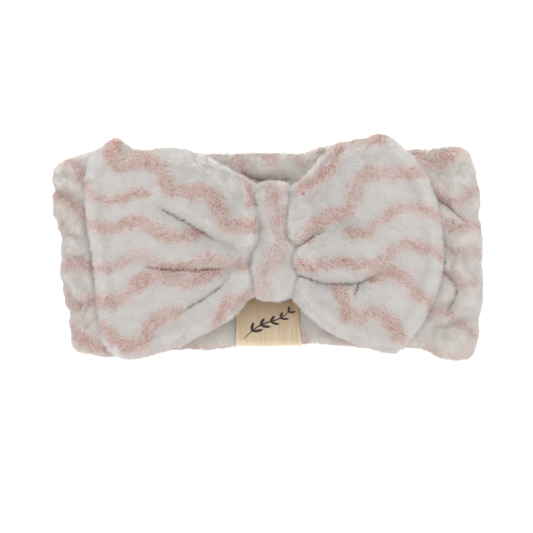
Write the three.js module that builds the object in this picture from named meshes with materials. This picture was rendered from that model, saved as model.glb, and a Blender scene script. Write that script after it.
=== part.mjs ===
// A plush spa headband, lying flat on its back with its bow up.
//
// The band is a wide fleece sleeve sewn into a loop. An elastic runs in a channel inside it, round the
// back and both ends, and its two ends are tacked inside the front. A fleece knot is wrapped round the
// middle of the front and the waist of a two-winged bow, and pinches both. A satin label is sewn to the
// inner face of the back and turned down over its lower edge.
//
// Millimetres, +Z up. X runs along the flattened loop, Y across the band, towards the top of the head.
// The origin is on the surface that the loop lies on, below its middle.

import * as THREE from "three";

// Driving dimensions
const LOOP_LENGTH = 220; // end to end, flattened
const BAND_WIDTH = 102;
const SLEEVE_THICKNESS = 11;
const HEAD_GAP = 8; // between the back and the front, where the head goes
const ELASTIC_WIDTH = 40;
const ELASTIC_THICKNESS = 1.2;
const ELASTIC_FRONT_REACH = 62; // |x| at which the elastic ends are tacked, inside the front
const KNOT_X = 4; // the bow is a little right of the middle
const KNOT_Y = 2;
const KNOT_LENGTH = 27; // along X
const KNOT_HALF_HEIGHT = 31; // along Y
const KNOT_WALL = 5;
const KNOT_BOTTOM = 14;
const KNOT_TOP = 50;
const WAIST_HALF_WIDTH = 23; // of the band where the knot pinches it
const FLARE_LENGTH = 42; // over which the band comes back to its full width
const WING_HALF_WIDTH = 56;
const WING_ROOT_HALF_WIDTH = 28;
const WING_OPEN_AT = 0.6; // share of a wing's length at which it reaches its full width
const WING_LOFT = 10.5; // height of the stuffing in the middle of a wing
const PANEL_THICKNESS = 3.2;
const LABEL_WIDTH = 31;
const LABEL_REACH = 30; // from the band's lower edge up its inner face
const LABEL_THICKNESS = 0.5;
const THREAD = 0.8;
const CLEARANCE = 0.4; // between pieces that touch on the real object

// The wings differ a little. shift is along Y, and a higher squareness gives fuller outer corners.
const WINGS = [
  { name: "left", side: -1, length: 84.5, shift: 0, squareness: 10 },
  { name: "right", side: 1, length: 73, shift: 1, squareness: 5 },
];

// Sizes that follow from them
const HALF_WIDTH = BAND_WIDTH / 2;
const HALF_THICKNESS = SLEEVE_THICKNESS / 2;
const BACK_Z = HALF_THICKNESS; // middle of the sleeve, at the back
const FOLD_RADIUS = (SLEEVE_THICKNESS + HEAD_GAP) / 2;
const FRONT_Z = BACK_Z + 2 * FOLD_RADIUS;
const FOLD_START = LOOP_LENGTH / 2 - FOLD_RADIUS - HALF_THICKNESS; // |x| at which the loop's ends turn
const STRAIGHT_END = FOLD_START - CLEARANCE;
const FRONT_TOP = FRONT_Z + HALF_THICKNESS;
const CHANNEL_HALF_WIDTH = ELASTIC_WIDTH / 2 + 3;
const CHANNEL_HALF_THICKNESS = ELASTIC_THICKNESS / 2 + CLEARANCE;
const KNOT_HALF_LENGTH = KNOT_LENGTH / 2;
const WING_START = KNOT_HALF_LENGTH + CLEARANCE;
const WING_BOTTOM = FRONT_TOP + 2 * CLEARANCE;
const SEAM_BOTTOM = WING_BOTTOM + PANEL_THICKNESS;
const SEAM_GAP = THREAD + CLEARANCE; // between the two panels of a wing, where the seam runs
const SEAM_TOP = SEAM_BOTTOM + SEAM_GAP;
const EDGE_STEPS = 6; // facets round a sleeve's edge

const COLOURS = {
  fleece: { color: 0xe9dcd8, roughness: 0.95 },
  elastic: { color: 0xf2f0ec, roughness: 0.8 },
  wadding: { color: 0xf6f5f2, roughness: 1.0 },
  satin: { color: 0xd9c29a, roughness: 0.45 },
  thread: { color: 0xeee6de, roughness: 0.7 },
};

const headband = new THREE.Group();

function addPiece(name, geometry, look) {
  const material = new THREE.MeshStandardMaterial({ ...COLOURS[look], metalness: 0 });
  const mesh = new THREE.Mesh(geometry, material);
  mesh.name = name;
  headband.add(mesh);
  return mesh;
}

// ---- Shapes shared by several pieces ----

// Points round a strip of the given half width and half thickness, whose two edges are round.
function stadium(halfWidth, halfThickness) {
  const straight = halfWidth - halfThickness;
  const points = [];
  for (const side of [1, -1]) {
    for (let i = 0; i <= EDGE_STEPS; i++) {
      const angle = Math.PI * (i / EDGE_STEPS - 0.5);
      const across = straight + Math.cos(angle) * halfThickness;
      points.push([side * across, side * Math.sin(angle) * halfThickness]);
    }
  }
  return points;
}

function closedGeometry(points, faces) {
  const geometry = new THREE.BufferGeometry();
  geometry.setAttribute("position", new THREE.Float32BufferAttribute(points.flatMap((p) => p.toArray()), 3));
  geometry.setIndex(faces.flat());
  geometry.computeVertexNormals();
  return geometry;
}

// A tube through stations. Each station has an outer ring of points and an inner ring with as many.
function tubeGeometry(stations) {
  const ring = stations[0].outer.length;
  const outerAt = (s, i) => s * 2 * ring + (i % ring);
  const innerAt = (s, i) => s * 2 * ring + ring + (i % ring);
  const faces = [];
  const quad = (a, b, c, d) => faces.push([a, b, c], [a, c, d]);
  const last = stations.length - 1;
  for (let i = 0; i < ring; i++) {
    for (let s = 0; s < last; s++) {
      quad(outerAt(s, i), outerAt(s, i + 1), outerAt(s + 1, i + 1), outerAt(s + 1, i));
      quad(innerAt(s, i), innerAt(s + 1, i), innerAt(s + 1, i + 1), innerAt(s, i + 1));
    }
    quad(outerAt(0, i), innerAt(0, i), innerAt(0, i + 1), outerAt(0, i + 1));
    quad(outerAt(last, i), outerAt(last, i + 1), innerAt(last, i + 1), innerAt(last, i));
  }
  return closedGeometry(stations.flatMap((s) => [...s.outer, ...s.inner]), faces);
}

// A station of the sleeve: a stadium ring across the band, with the elastic's channel inside it.
function sleeveStation(x, z, outward, halfWidth, halfThickness) {
  const place = ([across, up]) => new THREE.Vector3(x + outward.x * up, across, z + outward.z * up);
  const channelHalfWidth = Math.min(CHANNEL_HALF_WIDTH, halfWidth - HALF_THICKNESS);
  return {
    outer: stadium(halfWidth, halfThickness).map(place),
    inner: stadium(channelHalfWidth, CHANNEL_HALF_THICKNESS).map(place),
  };
}

// A closed solid between a lower and an upper surface, each a function of u and v from 0 to 1.
function layerGeometry(lower, upper, columns, rows) {
  const points = [];
  for (const surface of [lower, upper]) {
    for (let i = 0; i <= columns; i++) {
      for (let j = 0; j <= rows; j++) points.push(surface(i / columns, j / rows));
    }
  }
  const layer = (columns + 1) * (rows + 1);
  const at = (top, i, j) => top * layer + i * (rows + 1) + j;
  const faces = [];
  const quad = (a, b, c, d) => faces.push([a, b, c], [a, c, d]);
  for (let i = 0; i < columns; i++) {
    for (let j = 0; j < rows; j++) {
      quad(at(1, i, j), at(1, i + 1, j), at(1, i + 1, j + 1), at(1, i, j + 1));
      quad(at(0, i, j), at(0, i, j + 1), at(0, i + 1, j + 1), at(0, i + 1, j));
    }
    quad(at(0, i, 0), at(0, i + 1, 0), at(1, i + 1, 0), at(1, i, 0));
    quad(at(0, i + 1, rows), at(0, i, rows), at(1, i, rows), at(1, i + 1, rows));
  }
  for (let j = 0; j < rows; j++) {
    quad(at(0, 0, j + 1), at(0, 0, j), at(1, 0, j), at(1, 0, j + 1));
    quad(at(0, columns, j), at(0, columns, j + 1), at(1, columns, j + 1), at(1, columns, j));
  }
  return closedGeometry(points, faces);
}

// Turns a shape drawn with its x along the band's width and its y up into a piece extruded along X.
function extrudedAlongX(name, shape, from, length, look, bevel = 0) {
  const geometry = new THREE.ExtrudeGeometry(shape, {
    depth: length - 2 * bevel,
    curveSegments: 5,
    bevelEnabled: bevel > 0,
    bevelThickness: bevel,
    bevelSize: bevel,
    bevelOffset: -bevel,
    bevelSegments: 2,
  });
  const mesh = addPiece(name, geometry, look);
  const axes = new THREE.Matrix4().makeBasis(
    new THREE.Vector3(0, 1, 0),
    new THREE.Vector3(0, 0, 1),
    new THREE.Vector3(1, 0, 0),
  );
  mesh.setRotationFromMatrix(axes);
  mesh.position.set(from + bevel, 0, 0);
  return mesh;
}

function roundedRectangle(left, right, bottom, top, radius) {
  const shape = new THREE.Shape();
  shape.moveTo(left + radius, bottom);
  shape.lineTo(right - radius, bottom);
  shape.absarc(right - radius, bottom + radius, radius, -Math.PI / 2, 0, false);
  shape.lineTo(right, top - radius);
  shape.absarc(right - radius, top - radius, radius, 0, Math.PI / 2, false);
  shape.lineTo(left + radius, top);
  shape.absarc(left + radius, top - radius, radius, Math.PI / 2, Math.PI, false);
  shape.lineTo(left, bottom + radius);
  shape.absarc(left + radius, bottom + radius, radius, Math.PI, 1.5 * Math.PI, false);
  return shape;
}

// A thin strip, lying flat: the elastic's lengths and the rows of stitches.
function addStrip(name, look, centre, sizeX, sizeY, sizeZ) {
  const mesh = addPiece(name, new THREE.BoxGeometry(sizeX, sizeY, sizeZ), look);
  mesh.position.copy(centre);
  return mesh;
}

// ---- The band's sleeve ----

const UP = new THREE.Vector3(0, 0, 1);
const easedShare = (t) => THREE.MathUtils.smootherstep(t, 0, 1);

// Half the band's width along the front: narrow in the knot, full at both ends.
function frontHalfWidth(x) {
  const past = Math.abs(x - KNOT_X) - KNOT_HALF_LENGTH;
  return THREE.MathUtils.lerp(WAIST_HALF_WIDTH, HALF_WIDTH, easedShare(past / FLARE_LENGTH));
}

function addBackSleeve() {
  const places = [-1, -1 / 3, 1 / 3, 1].map((share) => share * STRAIGHT_END);
  const stations = places.map((x) => sleeveStation(x, BACK_Z, UP, HALF_WIDTH, HALF_THICKNESS));
  addPiece("back_sleeve", tubeGeometry(stations), "fleece");
}

function addFrontSleeve() {
  const count = 20;
  const stations = [];
  for (let i = 0; i <= count; i++) {
    const x = THREE.MathUtils.lerp(-1, 1, i / count) * STRAIGHT_END;
    const pinch = (frontHalfWidth(x) - WAIST_HALF_WIDTH) / (HALF_WIDTH - WAIST_HALF_WIDTH);
    const halfThickness = THREE.MathUtils.lerp(HALF_THICKNESS - 1, HALF_THICKNESS, pinch);
    stations.push(sleeveStation(x, FRONT_Z, UP, frontHalfWidth(x), halfThickness));
  }
  addPiece("front_sleeve", tubeGeometry(stations), "fleece");
}

// The round ends of the flattened loop, which stretch when the front is lifted off the back.
function addEndFold(side) {
  const name = side < 0 ? "left" : "right";
  const steps = 8;
  const stations = [];
  for (let i = 0; i <= steps; i++) {
    const angle = -Math.PI / 2 + (Math.PI * i) / steps;
    const outward = new THREE.Vector3(side * Math.cos(angle), 0, Math.sin(angle));
    const x = side * FOLD_START + outward.x * FOLD_RADIUS;
    const z = BACK_Z + FOLD_RADIUS + outward.z * FOLD_RADIUS;
    stations.push(sleeveStation(x, z, outward, HALF_WIDTH, HALF_THICKNESS));
  }
  if (side > 0) stations.reverse();
  addPiece(`${name}_end_fold`, tubeGeometry(stations), "fleece");
}

// ---- The elastic and its tacks ----

function addElastic() {
  const back = new THREE.Vector3(0, 0, BACK_Z);
  addStrip("back_elastic", "elastic", back, 2 * STRAIGHT_END, ELASTIC_WIDTH, ELASTIC_THICKNESS);
  for (const side of [-1, 1]) {
    const name = side < 0 ? "left" : "right";
    const ring = new THREE.Shape();
    const inner = FOLD_RADIUS - ELASTIC_THICKNESS / 2;
    const outer = FOLD_RADIUS + ELASTIC_THICKNESS / 2;
    ring.absarc(0, 0, outer, -Math.PI / 2, Math.PI / 2, false);
    ring.absarc(0, 0, inner, Math.PI / 2, -Math.PI / 2, true);
    const options = { depth: ELASTIC_WIDTH, curveSegments: 8, bevelEnabled: false };
    const geometry = new THREE.ExtrudeGeometry(ring, options);
    const bend = addPiece(`${name}_end_elastic`, geometry, "elastic");
    const axes = new THREE.Matrix4().makeBasis(
      new THREE.Vector3(side, 0, 0),
      new THREE.Vector3(0, 0, 1),
      new THREE.Vector3(0, -side, 0),
    );
    bend.setRotationFromMatrix(axes);
    bend.position.set(side * FOLD_START, (side * ELASTIC_WIDTH) / 2, BACK_Z + FOLD_RADIUS);

    const length = STRAIGHT_END - ELASTIC_FRONT_REACH;
    const middle = new THREE.Vector3(side * (ELASTIC_FRONT_REACH + length / 2), 0, FRONT_Z);
    addStrip(`${name}_front_elastic`, "elastic", middle, length, ELASTIC_WIDTH, ELASTIC_THICKNESS);

    // The bar of stitches past the elastic's end, through both walls of the sleeve.
    const tack = new THREE.Vector3(side * (ELASTIC_FRONT_REACH - CLEARANCE - THREAD), 0, FRONT_Z);
    addStrip(`${name}_elastic_tack`, "thread", tack, 2 * THREAD, ELASTIC_WIDTH - 4, THREAD);
  }
}

// ---- The label ----

// A ribbon's section: flat on the sleeve's inner face, then turned down round the sleeve's lower edge.
function labelSection() {
  const gap = CLEARANCE;
  const edge = -HALF_WIDTH + HALF_THICKNESS;
  const inner = HALF_THICKNESS + gap;
  const outer = inner + LABEL_THICKNESS;
  const section = new THREE.Shape();
  section.moveTo(-HALF_WIDTH + LABEL_REACH, BACK_Z + inner);
  section.lineTo(-HALF_WIDTH + LABEL_REACH, BACK_Z + outer);
  section.lineTo(edge, BACK_Z + outer);
  section.absarc(edge, BACK_Z, outer, Math.PI / 2, Math.PI, false);
  section.absarc(edge, BACK_Z, inner, Math.PI, Math.PI / 2, true);
  return section;
}

function addLabel() {
  extrudedAlongX("satin_label", labelSection(), -LABEL_WIDTH / 2, LABEL_WIDTH, "satin");
  const stitchZ = BACK_Z + HALF_THICKNESS + 2 * CLEARANCE + LABEL_THICKNESS + THREAD / 4;
  const length = LABEL_REACH - HALF_THICKNESS - 3;
  const stitchY = -HALF_WIDTH + HALF_THICKNESS + length / 2;
  for (const side of [-1, 1]) {
    const name = side < 0 ? "label_stitches_left" : "label_stitches_right";
    const centre = new THREE.Vector3(side * (LABEL_WIDTH / 2 - 2), stitchY, stitchZ);
    addStrip(name, "thread", centre, THREAD, length, THREAD / 2);
  }
}

// ---- The knot and what it holds ----

function addKnot() {
  const low = KNOT_Y - KNOT_HALF_HEIGHT;
  const high = KNOT_Y + KNOT_HALF_HEIGHT;
  const wrap = roundedRectangle(low, high, KNOT_BOTTOM, KNOT_TOP, 13);
  const bottom = FRONT_Z - HALF_THICKNESS + 1 - CLEARANCE;
  wrap.holes.push(roundedRectangle(low + KNOT_WALL, high - KNOT_WALL, bottom, KNOT_TOP - KNOT_WALL, 3.5));
  extrudedAlongX("knot_wrap", wrap, KNOT_X - KNOT_HALF_LENGTH, KNOT_LENGTH, "fleece");

  const waistTop = KNOT_TOP - KNOT_WALL - CLEARANCE;
  const threadLow = FRONT_TOP - 1 + CLEARANCE;
  const side = KNOT_HALF_HEIGHT - KNOT_WALL - CLEARANCE;
  const winding = roundedRectangle(KNOT_Y - side, KNOT_Y + side, threadLow, waistTop, 3.2);
  const inside = side - THREAD;
  winding.holes.push(
    roundedRectangle(KNOT_Y - inside, KNOT_Y + inside, threadLow + THREAD, waistTop - THREAD, 2.4),
  );
  extrudedAlongX("gathering_thread", winding, KNOT_X - 2, 4, "thread");

  const waistHalf = inside - CLEARANCE;
  const waist = roundedRectangle(
    KNOT_Y - waistHalf,
    KNOT_Y + waistHalf,
    threadLow + THREAD + CLEARANCE,
    waistTop - THREAD - CLEARANCE,
    2,
  );
  const waistLength = KNOT_LENGTH - 2 * CLEARANCE;
  extrudedAlongX("bow_waist", waist, KNOT_X - waistLength / 2, waistLength, "fleece");

  // The wrap's two ends are sewn together underneath, where they face the wearer's head.
  const seam = new THREE.Vector3(KNOT_X, KNOT_Y, KNOT_BOTTOM - CLEARANCE - THREAD / 2);
  addStrip("knot_closing_stitches", "thread", seam, KNOT_LENGTH - 6, 2 * THREAD, THREAD);
}

// ---- The wings of the bow ----

// How far a wing has opened out at u, a share of its length: 0 at its root in the knot, 1 at full width.
const wingOpening = (u) => Math.sin((Math.PI / 2) * Math.min(1, u / WING_OPEN_AT));

// Half a wing's width at u, from its root to its round outer end.
function wingHalfWidth(wing, u) {
  const flare = THREE.MathUtils.lerp(WING_ROOT_HALF_WIDTH, WING_HALF_WIDTH, wingOpening(u));
  return flare * Math.sqrt(1 - Math.pow(0.98 * u, wing.squareness));
}

// Columns are closer together towards the outer end, where the outline turns.
const wingAlong = (column) => 1 - Math.pow(1 - column, 1.5);

// How high the stuffing stands at u along and v across, both shares of the wing.
function wingLoft(u, v) {
  const along = 0.62 + 0.38 * Math.sin(Math.PI * (0.2 + 0.8 * u)) - 0.55 * Math.pow(u, 5);
  return WING_LOFT * along * Math.sqrt(Math.max(0, 1 - v * v));
}

// A point of a wing at a height. spread is how much of the outline the piece takes up, along and across.
function wingPoint(wing, column, row, spread, height) {
  const u = wingAlong(column) * spread.along;
  const v = (2 * row - 1) * spread.across;
  const x = KNOT_X + wing.side * (WING_START + u * wing.length);
  const middle = THREE.MathUtils.lerp(KNOT_Y, wing.shift, wingOpening(u));
  const y = middle + wing.side * v * wingHalfWidth(wing, u);
  return new THREE.Vector3(x, y, height(u, v));
}

function addWing(wing) {
  const whole = { along: 1, across: 1 };
  const stuffed = { along: 0.9, across: 0.76 };
  const inside = (u, v) => SEAM_TOP + wingLoft(u, v);
  addWingLayer(wing, "front", "fleece", whole, inside, (u, v) => inside(u, v) + PANEL_THICKNESS);
  addWingLayer(wing, "back", "fleece", whole, () => WING_BOTTOM, () => SEAM_BOTTOM);
  const waddingTop = (u, v) => inside(u, v) - 3 * CLEARANCE;
  addWingLayer(wing, "wadding", "wadding", stuffed, () => SEAM_BOTTOM + CLEARANCE, waddingTop);
  addWingSeam(wing);
}

function addWingLayer(wing, piece, look, spread, low, high) {
  const surface = (height) => (column, row) => wingPoint(wing, column, row, spread, height);
  const geometry = layerGeometry(surface(low), surface(high), 11, 10);
  addPiece(`${wing.name}_wing_${piece}`, geometry, look);
}

// The row of stitches that joins a wing's two panels, just inside their outline.
function addWingSeam(wing) {
  const inset = 2.2;
  const outer = wingOutline(wing, inset);
  const inner = wingOutline(wing, inset + THREAD);
  const strip = new THREE.Shape([...outer, ...inner.reverse()]);
  const geometry = new THREE.ExtrudeGeometry(strip, { depth: THREAD / 2, bevelEnabled: false });
  const seam = addPiece(`${wing.name}_wing_seam`, geometry, "thread");
  seam.position.z = SEAM_BOTTOM + (SEAM_GAP - THREAD / 2) / 2;
}

// A wing's outline from its root, round its outer end and back to its root, moved inwards.
function wingOutline(wing, inset) {
  const steps = 10;
  const points = [];
  for (const row of [0, 1]) {
    for (let i = 0; i <= steps; i++) {
      const column = row === 0 ? i / steps : 1 - i / steps;
      const point = wingPoint(wing, column, row, { along: 1, across: 1 }, () => 0);
      const inwards = (1 - 2 * row) * wing.side * inset;
      points.push(new THREE.Vector2(point.x - wing.side * inset * wingAlong(column), point.y + inwards));
    }
  }
  return points;
}

addBackSleeve();
addFrontSleeve();
for (const side of [-1, 1]) addEndFold(side);
addElastic();
addLabel();
addKnot();
for (const wing of WINGS) addWing(wing);

export default headband;
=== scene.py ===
"""A plush spa headband lying flat with its bow up: striped coral fleece over an elastic loop.

Shapes are worked out in millimetres, in the frame's axes, and turned into metres when a mesh is made.
Every surface is a grid of points. A fleece piece is a smooth skin with short pile grown on it.
"""
import math
from collections import namedtuple

import bpy
import numpy as np
from mathutils.bvhtree import BVHTree
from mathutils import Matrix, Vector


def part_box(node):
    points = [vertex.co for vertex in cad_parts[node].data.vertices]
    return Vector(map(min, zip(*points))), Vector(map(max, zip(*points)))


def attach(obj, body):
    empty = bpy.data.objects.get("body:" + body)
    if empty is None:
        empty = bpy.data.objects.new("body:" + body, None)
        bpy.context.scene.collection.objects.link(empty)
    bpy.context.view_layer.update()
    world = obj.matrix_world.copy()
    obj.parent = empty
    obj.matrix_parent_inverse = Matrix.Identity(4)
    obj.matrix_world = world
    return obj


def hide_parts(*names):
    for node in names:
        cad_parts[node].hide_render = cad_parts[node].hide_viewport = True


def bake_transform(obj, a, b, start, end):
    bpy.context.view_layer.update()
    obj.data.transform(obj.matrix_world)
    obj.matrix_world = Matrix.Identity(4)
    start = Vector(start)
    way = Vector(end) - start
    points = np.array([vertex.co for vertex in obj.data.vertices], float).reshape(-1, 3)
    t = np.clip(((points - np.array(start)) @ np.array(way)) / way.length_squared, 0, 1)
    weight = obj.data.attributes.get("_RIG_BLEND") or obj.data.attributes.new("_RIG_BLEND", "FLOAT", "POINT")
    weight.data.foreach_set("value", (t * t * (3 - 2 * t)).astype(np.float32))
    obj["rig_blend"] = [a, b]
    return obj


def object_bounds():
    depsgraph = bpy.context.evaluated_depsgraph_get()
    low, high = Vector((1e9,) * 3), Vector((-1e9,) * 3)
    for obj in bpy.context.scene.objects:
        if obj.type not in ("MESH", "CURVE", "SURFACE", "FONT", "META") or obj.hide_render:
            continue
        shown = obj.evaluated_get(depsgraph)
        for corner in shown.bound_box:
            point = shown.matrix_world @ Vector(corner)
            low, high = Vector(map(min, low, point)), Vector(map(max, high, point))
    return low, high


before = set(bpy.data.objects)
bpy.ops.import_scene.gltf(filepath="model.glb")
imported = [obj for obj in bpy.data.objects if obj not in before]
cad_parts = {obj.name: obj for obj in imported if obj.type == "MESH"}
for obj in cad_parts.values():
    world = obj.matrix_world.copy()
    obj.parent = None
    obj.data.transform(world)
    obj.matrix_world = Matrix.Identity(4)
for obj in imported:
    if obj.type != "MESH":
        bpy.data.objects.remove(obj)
CAD_BOX = [list(corner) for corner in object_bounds()]

MM = 0.001
UP = np.array([0.0, 0.0, 1.0])


def box_mm(node):
    """Lowest and highest corners of a CAD node, in millimetres."""
    return [np.array(corner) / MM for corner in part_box(node)]


# Driving dimensions, in millimetres
KNOT_LOW, KNOT_HIGH = box_mm("knot_wrap")
KNOT_MIDDLE = (KNOT_LOW + KNOT_HIGH) / 2
BACK_LOW, BACK_HIGH = box_mm("back_sleeve")
FRONT_LOW, FRONT_HIGH = box_mm("front_sleeve")
LABEL_LOW, LABEL_HIGH = box_mm("satin_label")
ELASTIC_LOW, ELASTIC_HIGH = box_mm("back_elastic")
TACK_REACH = -box_mm("left_elastic_tack")[0][0] - 1  # from the middle to an end of the elastic
LOOP_END = CAD_BOX[1][0] / MM
BACK_Z = (BACK_LOW[2] + BACK_HIGH[2]) / 2
FRONT_Z = (FRONT_LOW[2] + FRONT_HIGH[2]) / 2
HALFWAY_Z = (BACK_Z + FRONT_Z) / 2
FOLD_RADIUS = (FRONT_Z - BACK_Z) / 2
FOLD_START = BACK_HIGH[0]

PILE = 3.1  # length of the fleece's pile
PILE_STAND = 1.8  # how far the leaning pile stands off the skin
PILE_LEAN = 1.15  # how far the pile leans over, as a share of its length upright
SWIRL = 0.38  # how much the pile's swirls turn it off its nap
TUFT_RADIUS, TUFT_SUNK = 0.3, 0.35  # how thick a tuft is, and how far its foot is sunk in the skin
LOWEST_TIP = 0.15  # no tip of the pile goes lower than this above the floor
SKIN = 1.1  # thickness of the fleece's backing
STRIPE = 9.4  # width of a pink stripe
STRIPE_EDGE = 4.6  # width of the blur at its edges
PINK_FROM = 0.53  # how pink the fleece is where its tufts turn from white to pink
DARK_FROM = 0.32  # how near a fold is where its tufts take the dark tone of painted shade
# Standard deviations from tuft to tuft: where the pink starts, its tone, and which way it leans
EDGE_SCATTER, TONE_SCATTER, LEAN_SCATTER = 0.15, 0.28, 0.36
WIDE_ZIGZAG = (38, 6)  # period and swing of the zigzags on the hidden fleece of the bow
FOLD_LINE = 0.8  # how far a sharp fold reaches to each side
DEEPEST_CUT = 3.4  # the cut that shows its fold at full strength
BAND_SKIN_HALF = (BACK_HIGH[2] - BACK_LOW[2]) / 2 - PILE_STAND
BAND_STEPS, BAND_SIDES = 420, 168  # points along the loop and round the sleeve
ELASTIC_THREADS = 15  # points across the elastic
BAND_WAIST = 21.5  # half the front's width where the knot gathers it
GATHERED_HALF, GATHERS_REACH = 13, 42  # how far the knot holds it tight, and how far the gathers then run
KNOT_PLEATS = 26  # how closely the front is pleated under the knot
PUCKER_PITCH, PUCKER_DEPTH, PUCKER_HALF = 13, 1.9, 34  # what the elastic does to the band along its middle
CORNER = 11  # radius of the band's corners
WING_SEAM_Z = FRONT_HIGH[2] + 4.5
WING_SEAM_DROP = 1.2  # how much lower the seam is at a wing's far end
WING_MIDDLE = 48  # how far out a place well inside each wing is

# Tufts of pile per square millimetre
WING_PILE, BAND_PILE, EDGE_PILE, HIDDEN_PILE = 6.2, 7.0, 5.0, 1.2

# The stage, in metres and watts. A side light is its direction in X and Y, and its power.
TOP_POWER = 11
SIDE_LIGHTS = [(-1, 0, 5), (1, 0, 5), (0, -1, 5), (0, 1, 6.5)]
SIDE_DISTANCE, SIDE_HEIGHT = 1.15, 0.45
SOFTBOX = 0.8
WORLD_STRENGTH = 0.37
VIEW_WIDTH = 0.2718  # width of the view at the height VIEW_Z, round the place (0, VIEW_Y)
VIEW_Y, VIEW_Z = -0.0102, 0.036

# The stuffing of a wing by cloth simulation, which behaves better on a bigger model
SIMULATION_SCALE = 10.0
SLACK = 0.75  # height of a wing's cover before it is stuffed, as a share of its height after
VOXEL = 2.5  # spacing of the cover's remeshed points
HELD_WIDTH = 3  # how much of the cover is held at its seam and at the knot
PRESSURE = 5
SIMULATION_FRAMES = 20

# The curves below are places, then the values there.
# Height of a wing above its seam, by the share of its reach and by the distance from the knot's edge
WING_HEIGHTS = ([0.0, 0.35, 0.6, 0.85, 1.0], [14.6, 14.2, 13.7, 10.5, 7.5])
ROOT_HEIGHTS = ([-5, -1.5, 0, 1.5, 9], [6.5, 9.8, 12.8, 14.6, 14.2])
# The band's upper and lower edges, by x
UPPER_EDGE = (
    [-105, -95, -85, -32, 0, 17, 24, 32, 70, 90, 98],
    [44.6, 48.8, 50.2, 48.8, 49, 48.4, 50.6, 53.2, 50.4, 50.4, 51.6],
)
LOWER_EDGE = (
    [-100, -92, -60, -42, -32, -15, 0, 18, 50, 80, 92, 98],
    [-55, -56.9, -54.6, -52.4, -54, -51.5, -49.6, -50, -52.3, -52.4, -57, -58.6],
)
# How far the loop's two ends are moved to the right, by y
LEFT_SHIFT = (
    [-50, -36, -30, -22, -10, 0, 6, 13, 18, 34, 45],
    [8.0, 8.5, 6.8, 3.8, 3.2, 2.0, 1.8, 1.6, -0.4, -1.6, 3.4],
)
RIGHT_SHIFT = ([-52, -40, -28, -18, 2, 12, 26, 38, 45], [-0.9, 0.2, 0.7, 1.5, 2.1, 0.6, -0.4, -0.8, -2.8])

# A crease has soft slopes of some depth and width. A cut is the sharp fold at its bottom, between two shares
# of the path. A lip raises the fleece on its left side, or on its right if negative.
Crease = namedtuple("Crease", "path depth width lip cut cut_at", defaults=(0, 0, (0, 1)))

# The two wings, each by the points that its outline passes through, its creases and its pink stripes.
# A stripe is its width and its path.
LEFT_WING = {
    "name": "left_wing",
    "side": -1,
    "top": [(1, 27), (-4, 31), (-10, 35.4), (-21, 41.3), (-33, 47.8), (-46, 51.6), (-58, 50.8),
        (-67.5, 50.5), (-75, 57), (-82, 54.5), (-88, 50)],
    "end": [(-88, 49.5), (-92.5, 42), (-93.5, 28), (-92.5, 12), (-90, -3), (-88, -20), (-86.5, -36),
        (-84, -50)],
    "bottom": [(1, -23), (-4, -25.5), (-9, -28.5), (-16, -36.5), (-27, -43), (-39, -49), (-51, -53.8),
        (-63, -58), (-75, -57.6), (-84, -50)],
    "creases": [
        Crease([(-4, -4), (-14, -1), (-24, 3), (-33, 8), (-43, 14), (-54, 20), (-63, 23)],
               3.0, 5.0, lip=-1.5, cut=3.2, cut_at=(0.36, 0.82)),
        Crease([(-4, -7), (-14, -8.5), (-26, -11), (-40, -11.8), (-54, -10.8), (-70, -8)],
               2.4, 5.0, lip=-0.8, cut=3.0, cut_at=(0.28, 0.85)),
        Crease([(-5, -9), (-16, -13.5), (-23, -20), (-31, -26), (-40, -31), (-50, -35.5)],
               2.4, 5.0, lip=0.8, cut=2.4, cut_at=(0.36, 0.82)),
        Crease([(-5, 22), (-14, 22.5), (-26, 20), (-36, 19)], 0.9, 6),
        Crease([(-8, -24), (-16, -28), (-26, -36), (-34, -43)], 1.0, 6),
    ],
    "stripes": [
        (9.2, [(-78, 53), (-76.5, 43), (-69, 42.5), (-60, 44), (-53.5, 39), (-49, 31), (-43.5, 27.5),
            (-32, 28), (-26.5, 25), (-22.5, 17.5), (-18, 10.5), (-8, 11)]),
        (6.5, [(-94, 34), (-87, 27), (-80, 24), (-73, 24.5), (-67, 27), (-60, 27.5)]),
        (8.0, [(-92, 12.5), (-80, 9.8), (-73, 10.5), (-67, 13.5), (-61, 12.5), (-55, 8.5), (-48, 5),
            (-41, 5), (-34, 6)]),
        (7.0, [(-91, -9.5), (-79, -10.7), (-72, -7.5), (-66.5, -4.6), (-61, -4.6), (-55, -7.8), (-47, -9.6),
            (-39, -9.6), (-33, -7), (-27.5, -6), (-22, -7.8), (-10, -9)]),
        (9.0, [(-89, -25), (-79, -27.5), (-72, -25.8), (-67, -21), (-61.5, -16.2), (-53.5, -14.5),
            (-45.5, -15.6), (-38, -17.6), (-32.5, -14.8), (-26, -12)]),
        (9.0, [(-89, -36), (-79, -43.5), (-71.5, -48.5), (-65, -49.5), (-60, -45.3), (-57.6, -39),
            (-52.5, -35), (-45.5, -33.2)]),
        (8.0, [(-8, -25.5), (-17, -27.5), (-21.8, -32.5), (-24.2, -39), (-34, -49.5), (-44, -51.5),
            (-50, -54)]),
        (6.0, [(-13, 36), (-8.5, 29.5), (-6.5, 22)]),
    ],
}
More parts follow.
